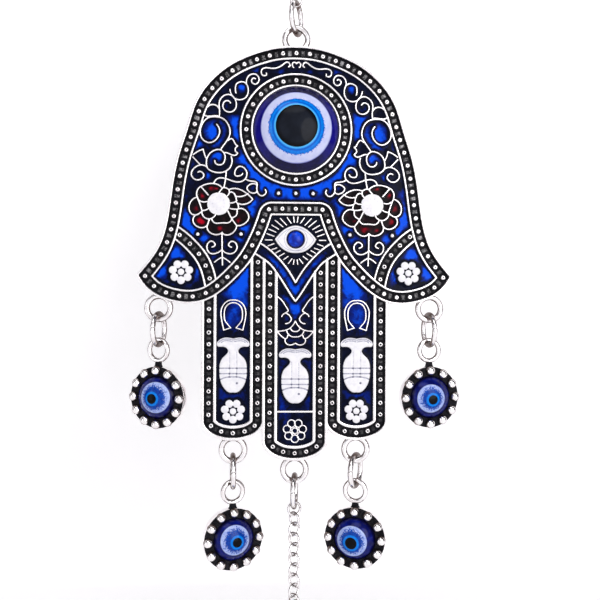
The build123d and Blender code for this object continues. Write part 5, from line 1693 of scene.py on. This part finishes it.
def backdrop_material():
    """White paper that is lit from within for the camera, and not seen from behind."""
    look = Look("pale_backdrop")
    look.tree.nodes.remove(look.shader)
    paper = look.span(look.noise(3.0, 4.0, 0.6), 0.3, 0.7)
    tone = look.mix(paper, (0.73, 0.72, 0.735), (0.71, 0.70, 0.715))
    plain = look.node("ShaderNodeBsdfDiffuse", Color=tone)
    glow = look.node("ShaderNodeEmission", Color=(1, 1, 1, 1), Strength=0.52)
    lit = look.node("ShaderNodeAddShader", i0=plain, i1=glow)
    camera_ray, glossy_ray, clear_ray = (
        look.node("ShaderNodeLightPath", f"Is {kind} Ray") for kind in ("Camera", "Glossy", "Transmission")
    )
    seen = look.sum(look.sum(camera_ray, glossy_ray, "MAXIMUM"), clear_ray, "MAXIMUM")
    front = look.node("ShaderNodeMixShader", i0=seen, i1=plain, i2=lit)
    behind = look.node("ShaderNodeNewGeometry", "Backfacing")
    clear = look.node("ShaderNodeBsdfTransparent")
    sided = look.node("ShaderNodeMixShader", i0=behind, i1=front, i2=clear)
    look.put(look.tree.nodes["Material Output"].inputs["Surface"], sided)
    return look.material


# The wall is close behind the top of the ornament, and leans away below it to leave room for its swing
WALL_BEHIND, WALL_LEAN, WALL_KNEE, KNEE_SOFT, FOOT_BEND = 15.0, math.radians(33), -14.0, 12.0, 15.0


def wall_at(z):
    """How far behind the ornament the wall is at a height."""
    below = WALL_KNEE - z
    return WALL_BEHIND + math.tan(WALL_LEAN) * (math.hypot(below, KNEE_SOFT) + below) / 2


floor_height = cad_box[0].z / MM - 9.0
foot_turn = math.pi / 2 + WALL_LEAN
foot_top = floor_height + FOOT_BEND * (1 - math.cos(foot_turn))
foot_start = wall_at(foot_top) - FOOT_BEND * math.sin(foot_turn)
sweep = [(-700.0, floor_height)]
sweep += [(foot_start + FOOT_BEND * math.sin(turn), floor_height + FOOT_BEND * (1 - math.cos(turn)))
          for turn in np.linspace(0, foot_turn, 17)]
sweep += [(wall_at(z), z) for z in (-140, -100, -70, -50, -35, -25, -15, -5, 5, 20, 45, 90, 200, 420)]
points = [(x * MM, y * MM, z * MM) for y, z in sweep for x in (-900.0, 900.0)]
faces = [(2 * i, 2 * i + 1, 2 * i + 3, 2 * i + 2) for i in range(len(sweep) - 1)]
mesh = bpy.data.meshes.new("backdrop")
mesh.from_pydata(points, [], faces)
mesh.materials.append(backdrop_material())
mesh.shade_smooth()
backdrop = bpy.data.objects.new("backdrop", mesh)
bpy.context.scene.collection.objects.link(backdrop)


# World, lamps and camera

def studio():
    """A dim room with a broad bright opening in front of the ornament."""
    world = bpy.data.worlds.new("studio")
    world.use_nodes = True
    tree = world.node_tree
    way = tree.nodes.new("ShaderNodeSeparateXYZ")
    tree.links.new(tree.nodes.new("ShaderNodeTexCoord").outputs["Generated"], way.inputs[0])
    ahead = tree.nodes.new("ShaderNodeMath")
    ahead.operation = "MULTIPLY"
    tree.links.new(way.outputs[1], ahead.inputs[0])
    ahead.inputs[1].default_value = -1.0
    opening = tree.nodes.new("ShaderNodeMapRange")
    opening.interpolation_type = "SMOOTHSTEP"
    tree.links.new(ahead.outputs[0], opening.inputs[0])
    for socket, value in zip(opening.inputs[1:5], (0.42, 0.87, 0.0, 1.0)):
        socket.default_value = value
    tone = tree.nodes.new("ShaderNodeMix")
    tone.data_type = "RGBA"
    tree.links.new(opening.outputs[0], tone.inputs[0])
    tone.inputs[6].default_value = (0.055, 0.050, 0.055, 1.0)
    tone.inputs[7].default_value = (0.92, 0.91, 0.945, 1.0)
    tree.links.new(tone.outputs[2], tree.nodes["Background"].inputs[0])
    tree.nodes["Background"].inputs[1].default_value = 1.0
    return world


bpy.context.scene.world = studio()


def lamp(name, spot, watts, colour, wide, tall):
    """A soft lamp at a place in millimetres that faces the middle of the ornament."""
    light = bpy.data.lights.new(name, "AREA")
    light.shape = "ELLIPSE"
    light.size, light.size_y = wide * MM, tall * MM
    light.energy, light.color = watts, colour
    made = bpy.data.objects.new(name, light)
    bpy.context.scene.collection.objects.link(made)
    made.location = Vector(spot) * MM
    made.rotation_mode = "QUATERNION"
    made.rotation_quaternion = (Vector(AIM) - Vector(spot)).to_track_quat("-Z", "Y")


AIM = (0.0, 0.0, -80.0)
lamp("key_softbox", (215.0, -390.0, -20.0), 1.02, (1.0, 0.985, 0.975), 290.0, 420.0)
lamp("top_softbox", (-60.0, -280.0, 330.0), 0.5, (1.0, 1.0, 1.0), 420.0, 200.0)
lamp("left_strip", (-380.0, -230.0, -60.0), 0.25, (0.97, 0.98, 1.0), 140.0, 420.0)

# The camera looks straight ahead, a little from one side, and leans by a hair as the photograph does
CAMERA_YAW, CAMERA_LEAN = 0.04404, math.radians(0.26)
CAMERA_BESIDE, CAMERA_AWAY, CAMERA_HEIGHT = -1.163, 170.0, -78.63
to_view = Matrix.Rotation(CAMERA_LEAN, 3, "Y") @ Matrix.Rotation(CAMERA_YAW, 3, "Z")
right, ahead, up = to_view
camera_data = bpy.data.cameras.new("camera")
camera_data.sensor_width = 36.0
camera_data.lens = 42.5
camera_data.clip_start, camera_data.clip_end = 0.01, 5.0
camera = bpy.data.objects.new("camera", camera_data)
bpy.context.scene.collection.objects.link(camera)
spot = -(to_view.transposed() @ Vector((CAMERA_BESIDE, CAMERA_AWAY, 0.0)))
spot.z += CAMERA_HEIGHT
turned = Matrix((right, up, -ahead)).transposed()
camera.matrix_world = Matrix.Translation(spot * MM) @ turned.to_4x4()
bpy.context.scene.camera = camera
bpy.context.scene.view_settings.view_transform = "Standard"
